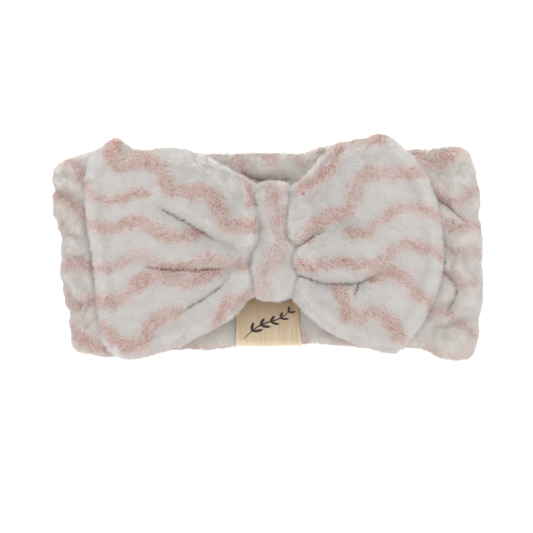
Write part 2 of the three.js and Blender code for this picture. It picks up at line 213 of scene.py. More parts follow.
RIGHT_WING = {
    "name": "right_wing",
    "side": 1,
    "top": [(6, 27), (11.5, 30.5), (19, 36), (27, 45.2), (34, 52.8), (42, 54.8), (51, 56.3), (58, 58.9),
        (65, 56), (72, 50), (79, 42)],
    "end": [(79, 42), (84, 34), (87.5, 24), (89.8, 12), (91, -1), (90, -14), (87, -25), (82, -36),
        (73, -49)],
    "bottom": [(6, -23), (12, -27), (16, -31.5), (22, -37), (31, -44), (41, -48.5), (52, -52.9),
        (60, -55.3), (67, -55.3), (73, -49)],
    "creases": [
        Crease([(11, -1), (17.5, 1.3), (21.5, 4.4), (27, 7.5), (37, 10), (48, 13.5), (56, 17)],
               2.6, 4.6, lip=0.4, cut=2.6, cut_at=(0.0, 0.4)),
        Crease([(11, -14.5), (16.5, -14.5), (21.5, -16), (28.5, -18.2), (37, -18.7), (46.5, -18.2),
            (51.5, -16), (57, -13), (66, -7)], 3.0, 4.6, lip=1.8, cut=3.4, cut_at=(0.0, 0.75)),
        Crease([(46.5, -18.5), (44.8, -22.5), (43.4, -27)], 0.6, 3.0, cut=2.2, cut_at=(0.0, 0.8)),
        Crease([(12, 20), (22, 22), (34, 25)], 0.8, 6),
        Crease([(12, -22), (20, -27), (30, -35)], 1.0, 6),
    ],
    "stripes": [
        (6.5, [(44, 52.5), (51.5, 52.5), (60, 56)]),
        (6.5, [(36, 50), (34.4, 45.7), (32, 40), (26, 34.5), (18, 29.5)]),
        (8.6, [(18.5, 4.5), (21, 8), (25.5, 12.5), (32.7, 15.8), (40, 19), (43.4, 25.5), (45.8, 32.8),
            (50.7, 37.4), (58, 38), (66, 37.6), (78, 38.5)]),
        (7.4, [(40, 7.6), (49, 7), (55.6, 12.3), (61.3, 17.2), (67, 20.3), (74.4, 20.5), (81.7, 18),
            (91, 15.5)]),
        (7.4, [(14, -10), (25.5, -9), (32.7, -7.6), (41.7, -8.3), (49, -9.5), (55.6, -8.6), (61.3, -4),
            (66.2, 0.9), (72, 1.7), (78.4, 0), (92, -4)]),
        (8.4, [(53, -15.5), (59.7, -12.8), (65.4, -13), (70.3, -17), (75.2, -22.8), (81.5, -28)]),
        (8.6, [(35, -20), (38.3, -27), (39.5, -33.5), (45, -35), (51.5, -32.8), (58, -33.6), (62, -38.3),
            (66, -43.2), (71, -49)]),
        (7.0, [(12, -28), (18.9, -35), (23.8, -40.7), (30.3, -45.6), (38, -49.5)]),
    ],
}
# The knot's edges on its front, as (y, x), and its stripe
KNOT_LEFT = [(-30, -6.6), (-22, -7.0), (-12, -7.1), (-2, -6.3), (8, -4.8), (20, -3.6), (32, -3.6)]
KNOT_RIGHT = [(-30, 10.4), (-22, 12.0), (-12, 14.6), (-2, 14.6), (8, 10.6), (20, 8.8), (32, 9.6)]
KNOT_STRIPE = (9.5, [(3.6, 34), (3.6, 24), (5.6, 12), (7.8, 4), (3.0, -6), (-1.5, -13), (-3.6, -20),
    (-3.6, -30)])

# Creases at the two ends of the band, and the thin fold above the knot
BAND_CREASES = [
    Crease([(80, 27), (87, 25), (93, 21.5), (98, 17), (104, 11.5)],
           2.6, 3.8, lip=1.0, cut=2.4, cut_at=(0.1, 0.9)),
    Crease([(88, -11), (93, -15), (96.5, -20), (96, -26), (92, -33), (89, -38)],
           2.4, 3.6, lip=1.0, cut=2.2, cut_at=(0.1, 0.9)),
    Crease([(103, -5), (98, -6), (94, -4), (84, -8)], 2.4, 3.6),
    Crease([(104, -38), (99, -39), (91, -42), (80, -41)], 2.8, 3.8, lip=0.8),
    Crease([(103, 36), (93, 39), (82, 35)], 2.2, 3.8),
    Crease([(-103, 16), (-101.5, 8), (-101, -2), (-100, -12)],
           1.5, 3.2, lip=0.6, cut=0.8, cut_at=(0.1, 0.9)),
    Crease([(-104, 5), (-99, 5.5), (-90, 4)], 1.4, 3.4, cut=0.4),
    Crease([(-111, 30), (-102, 28), (-90, 19)], 2.0, 3.8),
    Crease([(-104, -18), (-100, -26), (-98, -34), (-91, -39)],
           1.6, 3.4, lip=-0.6, cut=0.9, cut_at=(0.1, 0.9)),
    Crease([(-97, -12), (-95.5, -24), (-92, -44)], 2.4, 3.2),
    Crease([(-14, 39), (-8, 36.6), (-2, 35.6), (5, 35.3), (12, 36)], 1.0, 2.5, cut=3.2),
]
# Rounded lumps between the creases
BAND_LUMPS = [
    Crease([(90, -20), (89.5, -29)], -2.2, 6),
    Crease([(103, -22), (102, -31)], -1.8, 6),
    Crease([(86, -49), (98, -50)], -1.8, 8),
    Crease([(92, 45), (99, 42)], -1.4, 7),
    Crease([(100, 5), (101, 1)], -1.6, 6),
    Crease([(-97, 0), (-96, -4)], -2.4, 5),
    Crease([(-103, 38), (-100, 35)], -1.6, 7),
    Crease([(-94, -33), (-90, -37)], -2.0, 6),
    Crease([(-18, 40.5), (18, 40.5)], -2.4, 4.5),
]
# Pink stripes on the two ends of the band, and on the strips of it seen above and below the knot
END_STRIPES = [
    (8.0, [(72, 51), (79, 46), (86, 43), (93, 46), (99, 51)]),
    (7.5, [(82, 34), (89, 26.5), (96, 23.5), (102, 27), (112, 36)]),
    (8.0, [(86, 13), (92, 12), (97, 9.5), (104, 12.5), (112, 10)]),
    (6.5, [(86, 1), (92, 2), (97, -2), (104, -1), (112, -5)]),
    (6.5, [(90, -12), (96, -14), (101, -19), (106, -17)]),
    (8.0, [(78, -33), (88, -32), (95, -36), (101, -42), (108, -45)]),
    (5.0, [(80, -51), (90, -55), (100, -57), (106, -50)]),
    (7.0, [(-108, 47), (-99, 43), (-94, 37), (-86, 36)]),
    (9.5, [(-113, 24), (-104, 27), (-98, 21), (-88, 16)]),
    (7.0, [(-104, 14), (-102, 7)]),
    (9.0, [(-112, -4), (-103, -8), (-96, -7), (-86, -12)]),
    (8.5, [(-110, -22), (-102, -27), (-96, -30), (-88, -25)]),
    (10.0, [(-104, -40), (-96, -45), (-90, -49), (-78, -53)]),
]
STRIP_STRIPES = [
    (4.5, [(-35, 47), (-28, 44)]),
    (6.5, [(-17, 47), (-13, 41)]),
    (5.5, [(-1, 48), (4, 44.5)]),
    (4.5, [(15, 47), (19, 43.5)]),
    (6.0, [(26, 50), (32, 46)]),
    (3.6, [(-44, -50), (-30, -52), (-17, -51)]),
    (5.0, [(19, -45), (23, -51)]),
    (4.5, [(31, -45), (42, -50)]),
]

# sRGB colours of the fleece's pile. The first of each list is at a stripe's edge, and the others go from
# there to its middle. The last is painted shade, only for sharp folds.
WHITE_TONES = [(230, 220, 216), (224, 220, 214), (229, 227, 223), (233, 232, 229), (178, 128, 108)]
# The band's whites are warmer: painted warm shade, as the band lies in shade beside and under the bow.
WARM_SHADE_TONES = [(232, 220, 213), (229, 221, 213), (234, 229, 222), (238, 234, 228), (178, 128, 108)]
PINK_TONES = [
    (230, 218, 212), (227, 206, 199), (224, 196, 187), (218, 184, 174), (196, 142, 129), (160, 92, 74),
]


# ---- Curves, distances and noise ----

def smooth_path(points, count=120):
    """Evenly spaced points along a smooth curve through the given ones."""
    p = np.asarray(points, float)
    ends = np.vstack([2 * p[0] - p[1], p, 2 * p[-1] - p[-2]])
    t = np.linspace(0, 1, 16, endpoint=False)[:, None]
    dense = []
    for a, b, c, d in zip(ends, ends[1:], ends[2:], ends[3:]):
        square, cube = 2 * a - 5 * b + 4 * c - d, 3 * b - a - 3 * c + d
        dense.append(0.5 * (2 * b + (c - a) * t + square * t**2 + cube * t**3))
    return evenly(np.vstack(dense + [p[-1:]]), np.linspace(0, 1, count))


def evenly(path, shares):
    """The points at the given shares of a path's length."""
    steps = np.linalg.norm(np.diff(path, axis=0), axis=1)
    length = np.r_[0, np.cumsum(steps)]
    return np.column_stack([np.interp(shares * length[-1], length, axis) for axis in path.T])


def to_path(points, path):
    """Distance to a path in the plane, side (positive on its left) and share along it."""
    a, ab = path[:-1], np.diff(path, axis=0)
    best = np.full(len(points), np.inf)
    side = np.zeros(len(points))
    share = np.zeros(len(points))
    for i, (start, step) in enumerate(zip(a, ab)):
        from_start = points - start
        t = np.clip(from_start @ step / (step @ step), 0, 1)
        distance = np.linalg.norm(from_start - t[:, None] * step, axis=1)
        nearer = distance < best
        best[nearer] = distance[nearer]
        side[nearer] = np.sign(step[0] * from_start[nearer, 1] - step[1] * from_start[nearer, 0])
        share[nearer] = (i + t[nearer]) / len(a)
    return best, side, share


def ease(t):
    """A smooth step from 0 to 1."""
    t = np.clip(t, 0, 1)
    return t * t * (3 - 2 * t)


def ripples(points, wavelength, seed, waves=9):
    """Smooth noise of about -1 to 1, with bumps of about the given size."""
    rng = np.random.default_rng(seed)
    total = np.zeros(points.shape[:-1])
    for _ in range(waves):
        direction = rng.normal(size=points.shape[-1])
        direction *= 2 * np.pi / wavelength * rng.uniform(0.7, 1.4) / np.linalg.norm(direction)
        total += np.sin(points @ direction + rng.uniform(0, 2 * np.pi))
    return total / math.sqrt(waves)


def unit(vectors):
    return vectors / np.maximum(np.linalg.norm(vectors, axis=-1, keepdims=True), 1e-9)


def section(sides, squareness):
    """Points round a flat section: their places across it, and how far off its middle, both from -1 to 1."""
    t = np.linspace(-1, 1, sides // 2, endpoint=False)
    face = 0.6 * t + 0.4 * np.sin(np.pi / 2 * t)
    across = np.r_[-face, face]
    off = np.sqrt(1 - np.abs(across) ** squareness)
    return across, off * np.repeat([1, -1], sides // 2)


def grid_normals(points, closed=False):
    """Normals of a grid of points, on the side where the first axis crossed with the second points."""
    if closed:
        steps = [np.roll(points, -1, axis) - np.roll(points, 1, axis) for axis in (0, 1)]
    else:
        steps = [np.gradient(points, axis=axis) for axis in (0, 1)]
    return unit(np.cross(*steps))


def ring_normals(points):
    """Outward normals of a closed ring, a grid whose second axis runs round its section."""
    normals = grid_normals(points, closed=True)
    outwards = (normals * (points - points.mean(axis=1, keepdims=True))).sum((1, 2)).mean()
    return normals * np.sign(outwards)


def closed_grid(field):
    """A grid with its first row and column repeated at its end."""
    field = np.concatenate([field, field[:1]], axis=0)
    return np.concatenate([field, field[:, :1]], axis=1)


def cell_areas(p):
    """Areas of the cells of a grid of points."""
    return np.linalg.norm(np.cross(p[1:, 1:] - p[:-1, :-1], p[:-1, 1:] - p[1:, :-1]), axis=-1) / 2


# ---- Meshes ----

def add_object(name, data):
    """An object in the scene with the given mesh, light or camera."""
    made = bpy.data.objects.new(name, data)
    bpy.context.collection.objects.link(made)
    return made


def make_mesh(name, points_mm, faces, materials, slots=None, smooth=True):
    """An object from points in millimetres and an array of triangles or quads."""
    faces = np.asarray(faces, np.int32)
    mesh = bpy.data.meshes.new(name)
    mesh.vertices.add(len(points_mm))
    mesh.vertices.foreach_set("co", (np.asarray(points_mm) * MM).astype(np.float32).ravel())
    mesh.loops.add(faces.size)
    mesh.loops.foreach_set("vertex_index", faces.ravel())
    mesh.polygons.add(len(faces))
    mesh.polygons.foreach_set("loop_start", np.arange(0, faces.size, faces.shape[1], dtype=np.int32))
    if slots is not None:
        mesh.polygons.foreach_set("material_index", np.asarray(slots, np.int32))
    mesh.update(calc_edges=True)
    mesh.validate()
    if smooth:
        mesh.shade_smooth()
    for material in materials:
        mesh.materials.append(material)
    return add_object(name, mesh)


def grid_faces(rows, columns, closed=(False, False), first=0):
    """Quads over a grid of rows by columns points, numbered from first."""
    index = np.arange(rows * columns).reshape(rows, columns) + first
    if closed[0]:
        index = np.vstack([index, index[:1]])
    if closed[1]:
        index = np.hstack([index, index[:, :1]])
    corners = [index[:-1, :-1], index[1:, :-1], index[1:, 1:], index[:-1, 1:]]
    return np.stack(corners, axis=-1).reshape(-1, 4)


def rim_faces(rows, columns):
    """Quads that join the edges of two grids of the same size, the second numbered after the first."""
    index = np.arange(rows * columns).reshape(rows, columns)
    loop = np.concatenate([index[:-1, 0], index[-1, :-1], index[:0:-1, -1], index[0, :0:-1]])
    after = np.roll(loop, -1)
    second = rows * columns
    return np.stack([loop, loop + second, after + second, after], axis=-1)


def closed_mesh(name, points, faces, material):
    """An object over a closed surface, with its faces turned outwards."""
    piece = make_mesh(name, points.reshape(-1, 3), faces, [material])
    mesh = piece.data
    mesh.calc_loop_triangles()
    corners = np.zeros(len(mesh.loop_triangles) * 3, np.int32)
    mesh.loop_triangles.foreach_get("vertices", corners)
    a, b, c = mesh_points(mesh)[corners.reshape(-1, 3)].transpose(1, 0, 2)
    if (a * np.cross(b, c)).sum() < 0:
        mesh.flip_normals()
    return piece


def shell(name, outer, inner, material):
    """A closed sheet between two grids of points."""
    rows, columns = outer.shape[:2]
    faces = np.vstack([
        grid_faces(rows, columns),
        grid_faces(rows, columns, first=rows * columns)[:, ::-1],
        rim_faces(rows, columns)[:, ::-1],
    ])
    return closed_mesh(name, np.stack([outer, inner]), faces, material)


def ring(name, points, material):
    """A closed body over a grid that closes on itself both ways."""
    return closed_mesh(name, points, grid_faces(*points.shape[:2], closed=(True, True)), material)


def mesh_points(mesh):
    """A mesh's points in millimetres."""
    points = np.zeros(len(mesh.vertices) * 3)
    mesh.vertices.foreach_get("co", points)
    return points.reshape(-1, 3) / MM


def point_values(piece, name, values):
    """Stores one number for each point of a piece."""
    attribute = piece.data.attributes.get(name) or piece.data.attributes.new(name, "FLOAT", "POINT")
    attribute.data.foreach_set("value", np.asarray(values, np.float32).ravel())


def tube(path, radius, sides):
    """Points and faces of a closed tube with tapered ends, along a path in millimetres."""
    along = unit(np.gradient(path, axis=0))
    across = unit(np.cross(along, np.array([0.31, 0.17, 0.93])))
    other = np.cross(along, across)
    angles = np.linspace(0, 2 * np.pi, sides, endpoint=False)
    width = np.full(len(path), radius)
    width[[0, -1]] *= 0.55
    section = across[:, None] * np.cos(angles)[:, None] + other[:, None] * np.sin(angles)[:, None]
    points = path[:, None] + section * width[:, None, None]
    ends = np.array([path[0] - along[0] * radius * 0.5, path[-1] + along[-1] * radius * 0.5])
    faces = grid_faces(len(path), sides, closed=(False, True))[:, ::-1].tolist()
    last = len(path) * sides
    for j in range(sides):
        k = (j + 1) % sides
        faces += [[last, k, j], [last + 1, last - sides + j, last - sides + k]]
    return np.vstack([points.reshape(-1, 3), ends]), faces


def tubes(name, paths, radius, material, sides=6):
    """One object of several closed tubes."""
    points, faces = [], []
    for path in paths:
        tube_points, tube_faces = tube(path, radius, sides)
        faces += [[len(points) + corner for corner in face] for face in tube_faces]
        points += (tube_points * MM).tolist()
    mesh = bpy.data.meshes.new(name)
    mesh.from_pydata(points, [], faces)
    mesh.shade_smooth()
    mesh.materials.append(material)
    return add_object(name, mesh)


def stitch_paths(line, pitch, share=0.62, rise=0.45):
    """Short arched stitches along a line, each share of the pitch long."""
    length = np.linalg.norm(np.diff(line, axis=0), axis=1).sum()
    count = max(1, int(length / pitch))
    arch = np.sin(np.linspace(0, np.pi, 7)) * rise - rise * 0.5
    within = np.linspace(0.5 - share / 2, 0.5 + share / 2, 7)
    return [evenly(line, (i + within) / count) + arch[:, None] * UP for i in range(count)]


# ---- Materials ----

def srgb(colour):
    """Linear colour and full alpha from an sRGB colour of 0 to 255."""
    c = np.array(colour, float) / 255
    linear = np.where(c <= 0.04045, c / 12.92, ((c + 0.055) / 1.055) ** 2.4)
    return (*linear, 1.0)


class Nodes:
    """A small helper for building a Principled material's node tree."""

    def __init__(self, name, roughness, **constants):
        self.material = bpy.data.materials.new(name)
        self.material.use_nodes = True
        self.tree = self.material.node_tree
        self.shader = self.tree.nodes["Principled BSDF"]
        self.shader.inputs["Roughness"].default_value = roughness
        for socket, value in constants.items():
            self.shader.inputs[socket.replace("_", " ")].default_value = value

    def add(self, kind, **values):
        node = self.tree.nodes.new(kind)
        for key, value in values.items():
            if hasattr(node, key):
                setattr(node, key, value)
            else:
                node.inputs[key.replace("_", " ")].default_value = value
        return node

    def link(self, output, target):
        self.tree.links.new(output, target)

    def mix(self, factor, first, second, blend_type="MIX"):
        node = self.add("ShaderNodeMix", data_type="RGBA", blend_type=blend_type)
        for value, socket in ((factor, node.inputs[0]), (first, node.inputs[6]), (second, node.inputs[7])):
            if hasattr(value, "is_output"):
                self.link(value, socket)
            else:
                socket.default_value = value
        return node.outputs[2]

    def noise(self, scale, detail=3.0, stretch=(1, 1, 1)):
        place = self.add("ShaderNodeTexCoord")
        mapping = self.add("ShaderNodeMapping")
        mapping.inputs["Scale"].default_value = stretch
        self.link(place.outputs["Object"], mapping.inputs["Vector"])
        noise = self.add("ShaderNodeTexNoise", Scale=scale, Detail=detail)
        self.link(mapping.outputs[0], noise.inputs["Vector"])
        return noise.outputs["Fac"]

    def ramp(self, factor, low, high):
        node = self.add("ShaderNodeMapRange")
        node.inputs["From Min"].default_value = low
        node.inputs["From Max"].default_value = high
        self.link(factor, node.inputs["Value"])
        return node.outputs[0]

    def between(self, factor, low, high, dark, light):
        """From one sRGB colour to another as the factor goes from low to high."""
        return self.mix(self.ramp(factor, low, high), srgb(dark), srgb(light))

    def bump(self, height, distance, strength=0.6):
        node = self.add("ShaderNodeBump", Strength=strength, Distance=distance)
        self.link(height, node.inputs["Height"])
        self.link(node.outputs[0], self.shader.inputs["Normal"])

    def colour(self, output):
        self.link(output, self.shader.inputs["Base Color"])
        return self.material


def fleece_skin_material():
    """The fleece's knitted backing with the roots of its pile, painted darker and redder than the tips as
    the shade deep in the pile.
    """
    n = Nodes("fleece_skin", 0.95, Sheen_Weight=0.35, Sheen_Roughness=0.6)
    pink = n.add("ShaderNodeAttribute", attribute_name="pink").outputs["Fac"]
    # Painted shade: the roots are darker and redder than the tips, as the pile is in shade down there.
    white_root_shade = n.between(n.noise(900, 2), 0.35, 0.65, (212, 206, 198), (228, 224, 217))
    pink_root_shade = n.between(n.noise(700, 2), 0.35, 0.65, (180, 124, 112), (205, 160, 150))
    mottle = n.ramp(n.noise(60, 4), 0.3, 0.7)
    colour = n.mix(n.ramp(pink, 0.3, 0.7), white_root_shade, pink_root_shade)
    colour = n.mix(mottle, colour, n.mix(0.94, (1, 1, 1, 1), colour, "MULTIPLY"))
    # Painted shade: the skin turns dark reddish brown at the bottom of sharp folds.
    fold = n.add("ShaderNodeAttribute", attribute_name="fold").outputs["Fac"]
    colour = n.mix(n.ramp(fold, 0.2, 0.8), colour, srgb((140, 78, 60)))
    n.bump(n.noise(1400, 3), 0.0004)
    return n.colour(colour)


def pile_materials(kind, tones):
    """One plain material for each tone of one kind of fibre."""
    return [
        Nodes(f"pile_{kind}_{i}", 0.9, Base_Color=srgb(tone), Sheen_Weight=0.5, Sheen_Roughness=0.5,
              Subsurface_Weight=0.3, Subsurface_Radius=(1.0, 0.9, 0.8), Subsurface_Scale=0.5 * MM).material
        for i, tone in enumerate(tones)
    ]


def satin_material():
    """Woven satin: fine threads, streaks of painted gloss and shade down the ribbon, and darker at its top,
    where it's tucked in under the knot, as painted shade.
    """
    n = Nodes("label_satin", 0.42, Sheen_Weight=0.3, Anisotropic=0.5)
    streak = n.noise(220, 2, (3.0, 0.25, 1.0))
    fine = n.noise(2600, 2, (1.0, 6.0, 1.0))
    place = n.add("ShaderNodeSeparateXYZ")
    n.link(n.add("ShaderNodeTexCoord").outputs["Object"], place.inputs[0])
    # Painted shade: darker at the top, under the knot, and paler down the ribbon.
    down = n.ramp(place.outputs["Y"], -0.026, -0.046)
    colour = n.mix(down, srgb((152, 123, 88)), srgb((206, 190, 162)))
    # Painted gloss and shade: streaks down the ribbon.
    colour = n.mix(n.ramp(streak, 0.35, 0.65), n.mix(0.35, colour, srgb((166, 136, 98))), colour)
    colour = n.mix(n.ramp(fine, 0.3, 0.7), n.mix(0.25, colour, srgb((178, 150, 112))), colour)
    n.bump(fine, 0.00008, 0.5)
    return n.colour(colour)


def print_material():
    """Dark print with a slightly broken, dry edge."""
    n = Nodes("label_print", 0.6)
    return n.colour(n.between(n.noise(1500, 3), 0.3, 0.7, (34, 28, 26), (66, 56, 50)))


def elastic_material():
    """Woven elastic: ribs along its length, crossed by fine rubber threads."""
    n = Nodes("elastic_weave", 0.75)
    ribs = n.noise(500, 1, (0.15, 6.0, 1.0))
    n.bump(n.noise(900, 1, (5.0, 0.3, 1.0)), 0.0003, 0.8)
    return n.colour(n.between(ribs, 0.4, 0.6, (214, 210, 203), (240, 238, 233)))


def thread_material(name, dark, light):
    """Spun polyester thread, between two colours as it twists."""
    n = Nodes(name, 0.6, Sheen_Weight=0.2)
    twist = n.noise(2200, 1, (3.0, 1.0, 1.0))
    n.bump(twist, 0.0001)
    return n.colour(n.between(twist, 0.35, 0.65, dark, light))


def wadding_material():
    """Loose polyester fibre, full of small hollows."""
    n = Nodes("wadding_fibre", 1.0, Sheen_Weight=0.6)
    fibre = n.noise(300, 6)
    n.bump(fibre, 0.002, 1.0)
    return n.colour(n.between(fibre, 0.3, 0.7, (214, 213, 210), (248, 248, 246)))


def floor_material():
    """Smooth white paper, faintly lit from below, as on a light table."""
    n = Nodes("paper_floor", 0.9, Emission_Color=(1, 1, 1, 1), Emission_Strength=1.0)
    return n.colour(n.mix(n.ramp(n.noise(3, 2), 0.3, 0.7), (0.97, 0.97, 0.97, 1), (1.0, 1.0, 1.0, 1)))


FLEECE = fleece_skin_material()
WHITE_PILE = pile_materials("white", WHITE_TONES)
WARM_SHADE_PILE = pile_materials("warm_shade", WARM_SHADE_TONES)
PINK_PILE = pile_materials("pink", PINK_TONES)
SATIN = satin_material()
PRINT = print_material()
ELASTIC = elastic_material()
THREAD = thread_material("sewing_thread", (222, 208, 194), (244, 236, 226))
LABEL_THREAD = thread_material("label_thread", (176, 150, 114), (214, 194, 162))
WADDING = wadding_material()


# ---- The fleece's pattern ----

def painted(points, stripes, seed, edge=STRIPE_EDGE):
    """How pink the fleece is at points in the plane, from stripes along paths. 0.5 is a stripe's edge."""
    wobble = 0.7 * np.column_stack([ripples(points, 9, seed), ripples(points, 9, seed + 1)])
    pink = np.zeros(len(points))
    for width, path in stripes:
        distance = to_path(points + wobble, smooth_path(path, 40))[0]
        pink = np.maximum(pink, 0.5 + (width / 2 - distance) / edge)
    return np.clip(pink, 0, 1)


def zigzag(along, across, period, swing, start=0.0):
    """How pink the fleece is where its stripes run in plain zigzags."""
    pitch = 2 * STRIPE
    folded = np.abs(((along / period) % 1) * 2 - 1) * 2 - 1
    place = ((across + swing * folded) / pitch + start) % 1
    from_middle = np.abs(place - 0.5) * pitch
    return np.clip(0.5 + (pitch / 4 - from_middle) / STRIPE_EDGE, 0, 1)


# ---- Pile ----

# A grid of points with what the pile on it needs: its colour, which way it leans and how thickly it grows.
# Weight is how far it follows the second of its two bodies. Fold is 1 at the bottom of a sharp fold.
Surface = namedtuple("Surface", "points normals pink nap density weight fold")


def scatter(surface, rng):
    """Random places on a surface, as many per square millimetre as its density says."""
    thick = (surface.density[1:, 1:] + surface.density[:-1, :-1]) / 2
    count = rng.poisson(cell_areas(surface.points) * thick)
    i, j = np.nonzero(count)
    times = count[i, j]
    i, j = np.repeat(i, times), np.repeat(j, times)
    a, b = rng.random(len(i)), rng.random(len(i))

    def at(field):
        shape = (-1,) + (1,) * (field.ndim - 2)
        s, t = a.reshape(shape), b.reshape(shape)
        low = field[i, j] * (1 - s) + field[i + 1, j] * s
        high = field[i, j + 1] * (1 - s) + field[i + 1, j + 1] * s
        return low * (1 - t) + high * t

    fields = (surface.points, surface.normals, surface.nap, surface.pink, surface.weight, surface.fold)
    return [at(field) for field in fields]


def grow_pile(name, surfaces, seed, shift=0.0, whites=WHITE_PILE):
    """Tufts of pile on the surfaces: one pink piece and one white piece, each with its points' weights."""
    rng = np.random.default_rng(seed)
    fields = zip(*(scatter(surface, rng) for surface in surfaces))
    roots, normals, nap, pink, weight, fold = (np.concatenate(field) for field in fields)
    normals = unit(normals)
    is_pink = pink + rng.normal(0, EDGE_SCATTER, len(pink)) > PINK_FROM
    inside = 0.05 + 0.95 * np.abs(pink - PINK_FROM) + 0.1 * ripples(roots, 15, seed + 7)
    shade = inside + shift + rng.normal(0, TONE_SCATTER, len(pink))
    swirl = np.stack([ripples(roots, 7, seed + k) for k in range(3)], axis=-1)
    drift = unit(nap + SWIRL * swirl) * PILE_LEAN + rng.normal(0, LEAN_SCATTER, roots.shape)
    drift -= (drift * normals).sum(1, keepdims=True) * normals
    axis = unit(normals + drift)
    reach = PILE * rng.uniform(0.7, 1.25, len(roots)) * (1 - 0.5 * fold)
    # Tufts near a sharp fold take their list's last, darkest tone: painted shade in the fold.
    folded = fold * rng.uniform(0.7, 1.5, len(fold)) > DARK_FROM
    made = []
    for kind, chosen, materials in (("pink", is_pink, PINK_PILE), ("white", ~is_pink, whites)):
        last = len(materials) - 1
        tone = np.clip((shade[chosen] * last).astype(int), 0, last - 1)
        tone[folded[chosen]] = last
        spikes = (roots[chosen], normals[chosen], axis[chosen], reach[chosen])
        piece = tufts(f"{name}_pile_{kind}", *spikes, materials, tone, rng)
        made.append((piece, np.repeat(weight[chosen], 4)))
    return made


def tufts(name, roots, normals, axis, reach, materials, tone, rng):
    """One closed three-sided spike for each root, shaded a little like the skin under it."""
    count = len(roots)
    across = unit(np.cross(axis, rng.normal(size=axis.shape)))
    other = np.cross(axis, across)
    sunk = roots - TUFT_SUNK * normals
    points = np.empty((count, 4, 3))
    lit = np.empty((count, 4, 3))
    for k in range(3):
        angle = 2 * np.pi * k / 3
        out = across * math.cos(angle) + other * math.sin(angle)
        points[:, k] = sunk + out * TUFT_RADIUS
        lit[:, k] = unit(normals + 0.65 * out)
    points[:, 3] = roots + axis * reach[:, None]
    points[:, 3, 2] = np.maximum(points[:, 3, 2], LOWEST_TIP)
    lit[:, 3] = unit(normals + 0.2 * axis)
    pattern = np.array([[0, 1, 3], [1, 2, 3], [2, 0, 3], [0, 2, 1]])
    faces = (pattern[None] + 4 * np.arange(count)[:, None, None]).reshape(-1, 3)
    piece = make_mesh(name, points.reshape(-1, 3), faces, materials, slots=np.repeat(tone, 4))
    piece.data.normals_split_custom_set_from_vertices(lit.reshape(-1, 3))
    return piece


def settle(piece, body, other=None, weights=None):
    """Makes a piece ride on a body, or bend between two bodies with the given weight for each point."""
    if other is None:
        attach(piece, body)
    else:
        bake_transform(piece, body, other, start=(0, 0, 0), end=(0, 0, 1))
        point_values(piece, "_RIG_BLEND", weights)


# ---- The bow's wings ----

def inset(path, distance, inwards):
    """A boundary moved inwards, so that the pile on it ends at the outline."""
    along = unit(np.gradient(path, axis=0))
    normal = np.column_stack([-along[:, 1], along[:, 0]])
    towards = np.sign(((np.asarray(inwards) - path) * normal).sum(1, keepdims=True))
    return path + normal * towards * distance


def wing_plan(wing, columns=140, rows=160, distance=PILE_STAND):
    """A grid over a wing's outline, from the knot outwards and from bottom to top, and the outline."""
    middle = (wing["side"] * WING_MIDDLE, 0)
    sides = (smooth_path(wing[key], 200) for key in ("top", "end", "bottom"))
    top, end, bottom = (inset(side, distance + 0.8, middle) for side in sides)
    end = end[::-1]
    corner_top, corner_bottom = (top[-1] + end[-1]) / 2, (bottom[-1] + end[0]) / 2
    top[-1] = end[-1] = corner_top
    bottom[-1] = end[0] = corner_bottom
    root = np.linspace(bottom[0], top[0], 50)
    s = np.sin(np.pi / 2 * np.linspace(0, 1, columns))
    t = (1 - np.cos(np.pi * np.linspace(0, 1, rows))) / 2
    t = 0.7 * t + 0.3 * np.linspace(0, 1, rows)
    upper, lower = evenly(top, s)[:, None], evenly(bottom, s)[:, None]
    near, far = evenly(root, t)[None], evenly(end, t)[None]
    s, t = s[:, None, None], t[None, :, None]
    corners = (1 - s) * (1 - t) * bottom[0] + (1 - s) * t * top[0]
    corners = corners + s * (1 - t) * corner_bottom + s * t * corner_top
    plan = (1 - t) * lower + t * upper + (1 - s) * near + s * far - corners
    return plan, np.vstack([top, end[::-1], bottom[::-1]])


def crease_depths(xy, creases):
    """How deep the creases cut at points in the plane, and how near each point is to a sharp fold."""
    total = np.zeros(len(xy))
    folded = np.zeros(len(xy))
    for crease in creases:
        distance, side, share = to_path(xy, smooth_path(crease.path, 60))
        width, (first, last) = crease.width, crease.cut_at
        taper = ease(share / 0.12 + 0.5) * ease((1 - share) / 0.35)
        total += crease.depth * taper * np.exp(-((distance / width) ** 2))
        sharp = ease((share - first) / 0.15 + 0.5) * ease((last - share) / 0.25 + 0.5)
        total += 0.5 * crease.cut * sharp * np.exp(-distance / FOLD_LINE)
        near = (crease.cut / DEEPEST_CUT) * sharp * np.exp(-((distance / FOLD_LINE) ** 2))
        folded = np.maximum(folded, near)
        ridge = np.exp(-(((distance - 1.1 * width) / (0.9 * width)) ** 2)) * (side * crease.lip > 0)
        total -= abs(crease.lip) * taper * ridge
    return total, np.clip(folded, 0, 1)


def knot_edges(y, on_top=1.0):
    """Left and right edge of the knot at y. It's fuller below the middle of its front."""
    edges = []
    for side, line in ((-1, KNOT_LEFT), (1, KNOT_RIGHT)):
        front = np.interp(y, *smooth_path(line).T)
        edges.append(on_top * front + (1 - on_top) * (KNOT_MIDDLE[0] + side * 8.2))
    return edges


def beside_knot(wing, xy):
    """How far points are outside the knot's edge, on the wing's side. Negative under the knot."""
    left, right = knot_edges(xy[:, 1])
    return left - xy[:, 0] if wing["side"] < 0 else xy[:, 0] - right


def wing_share(wing, x):
    """How far x is from the knot's middle, as a share of the wing's reach."""
    reach = max(abs(corner - KNOT_MIDDLE[0]) for corner, _ in wing["end"]) - PILE_STAND
    return np.abs(x - KNOT_MIDDLE[0]) / reach


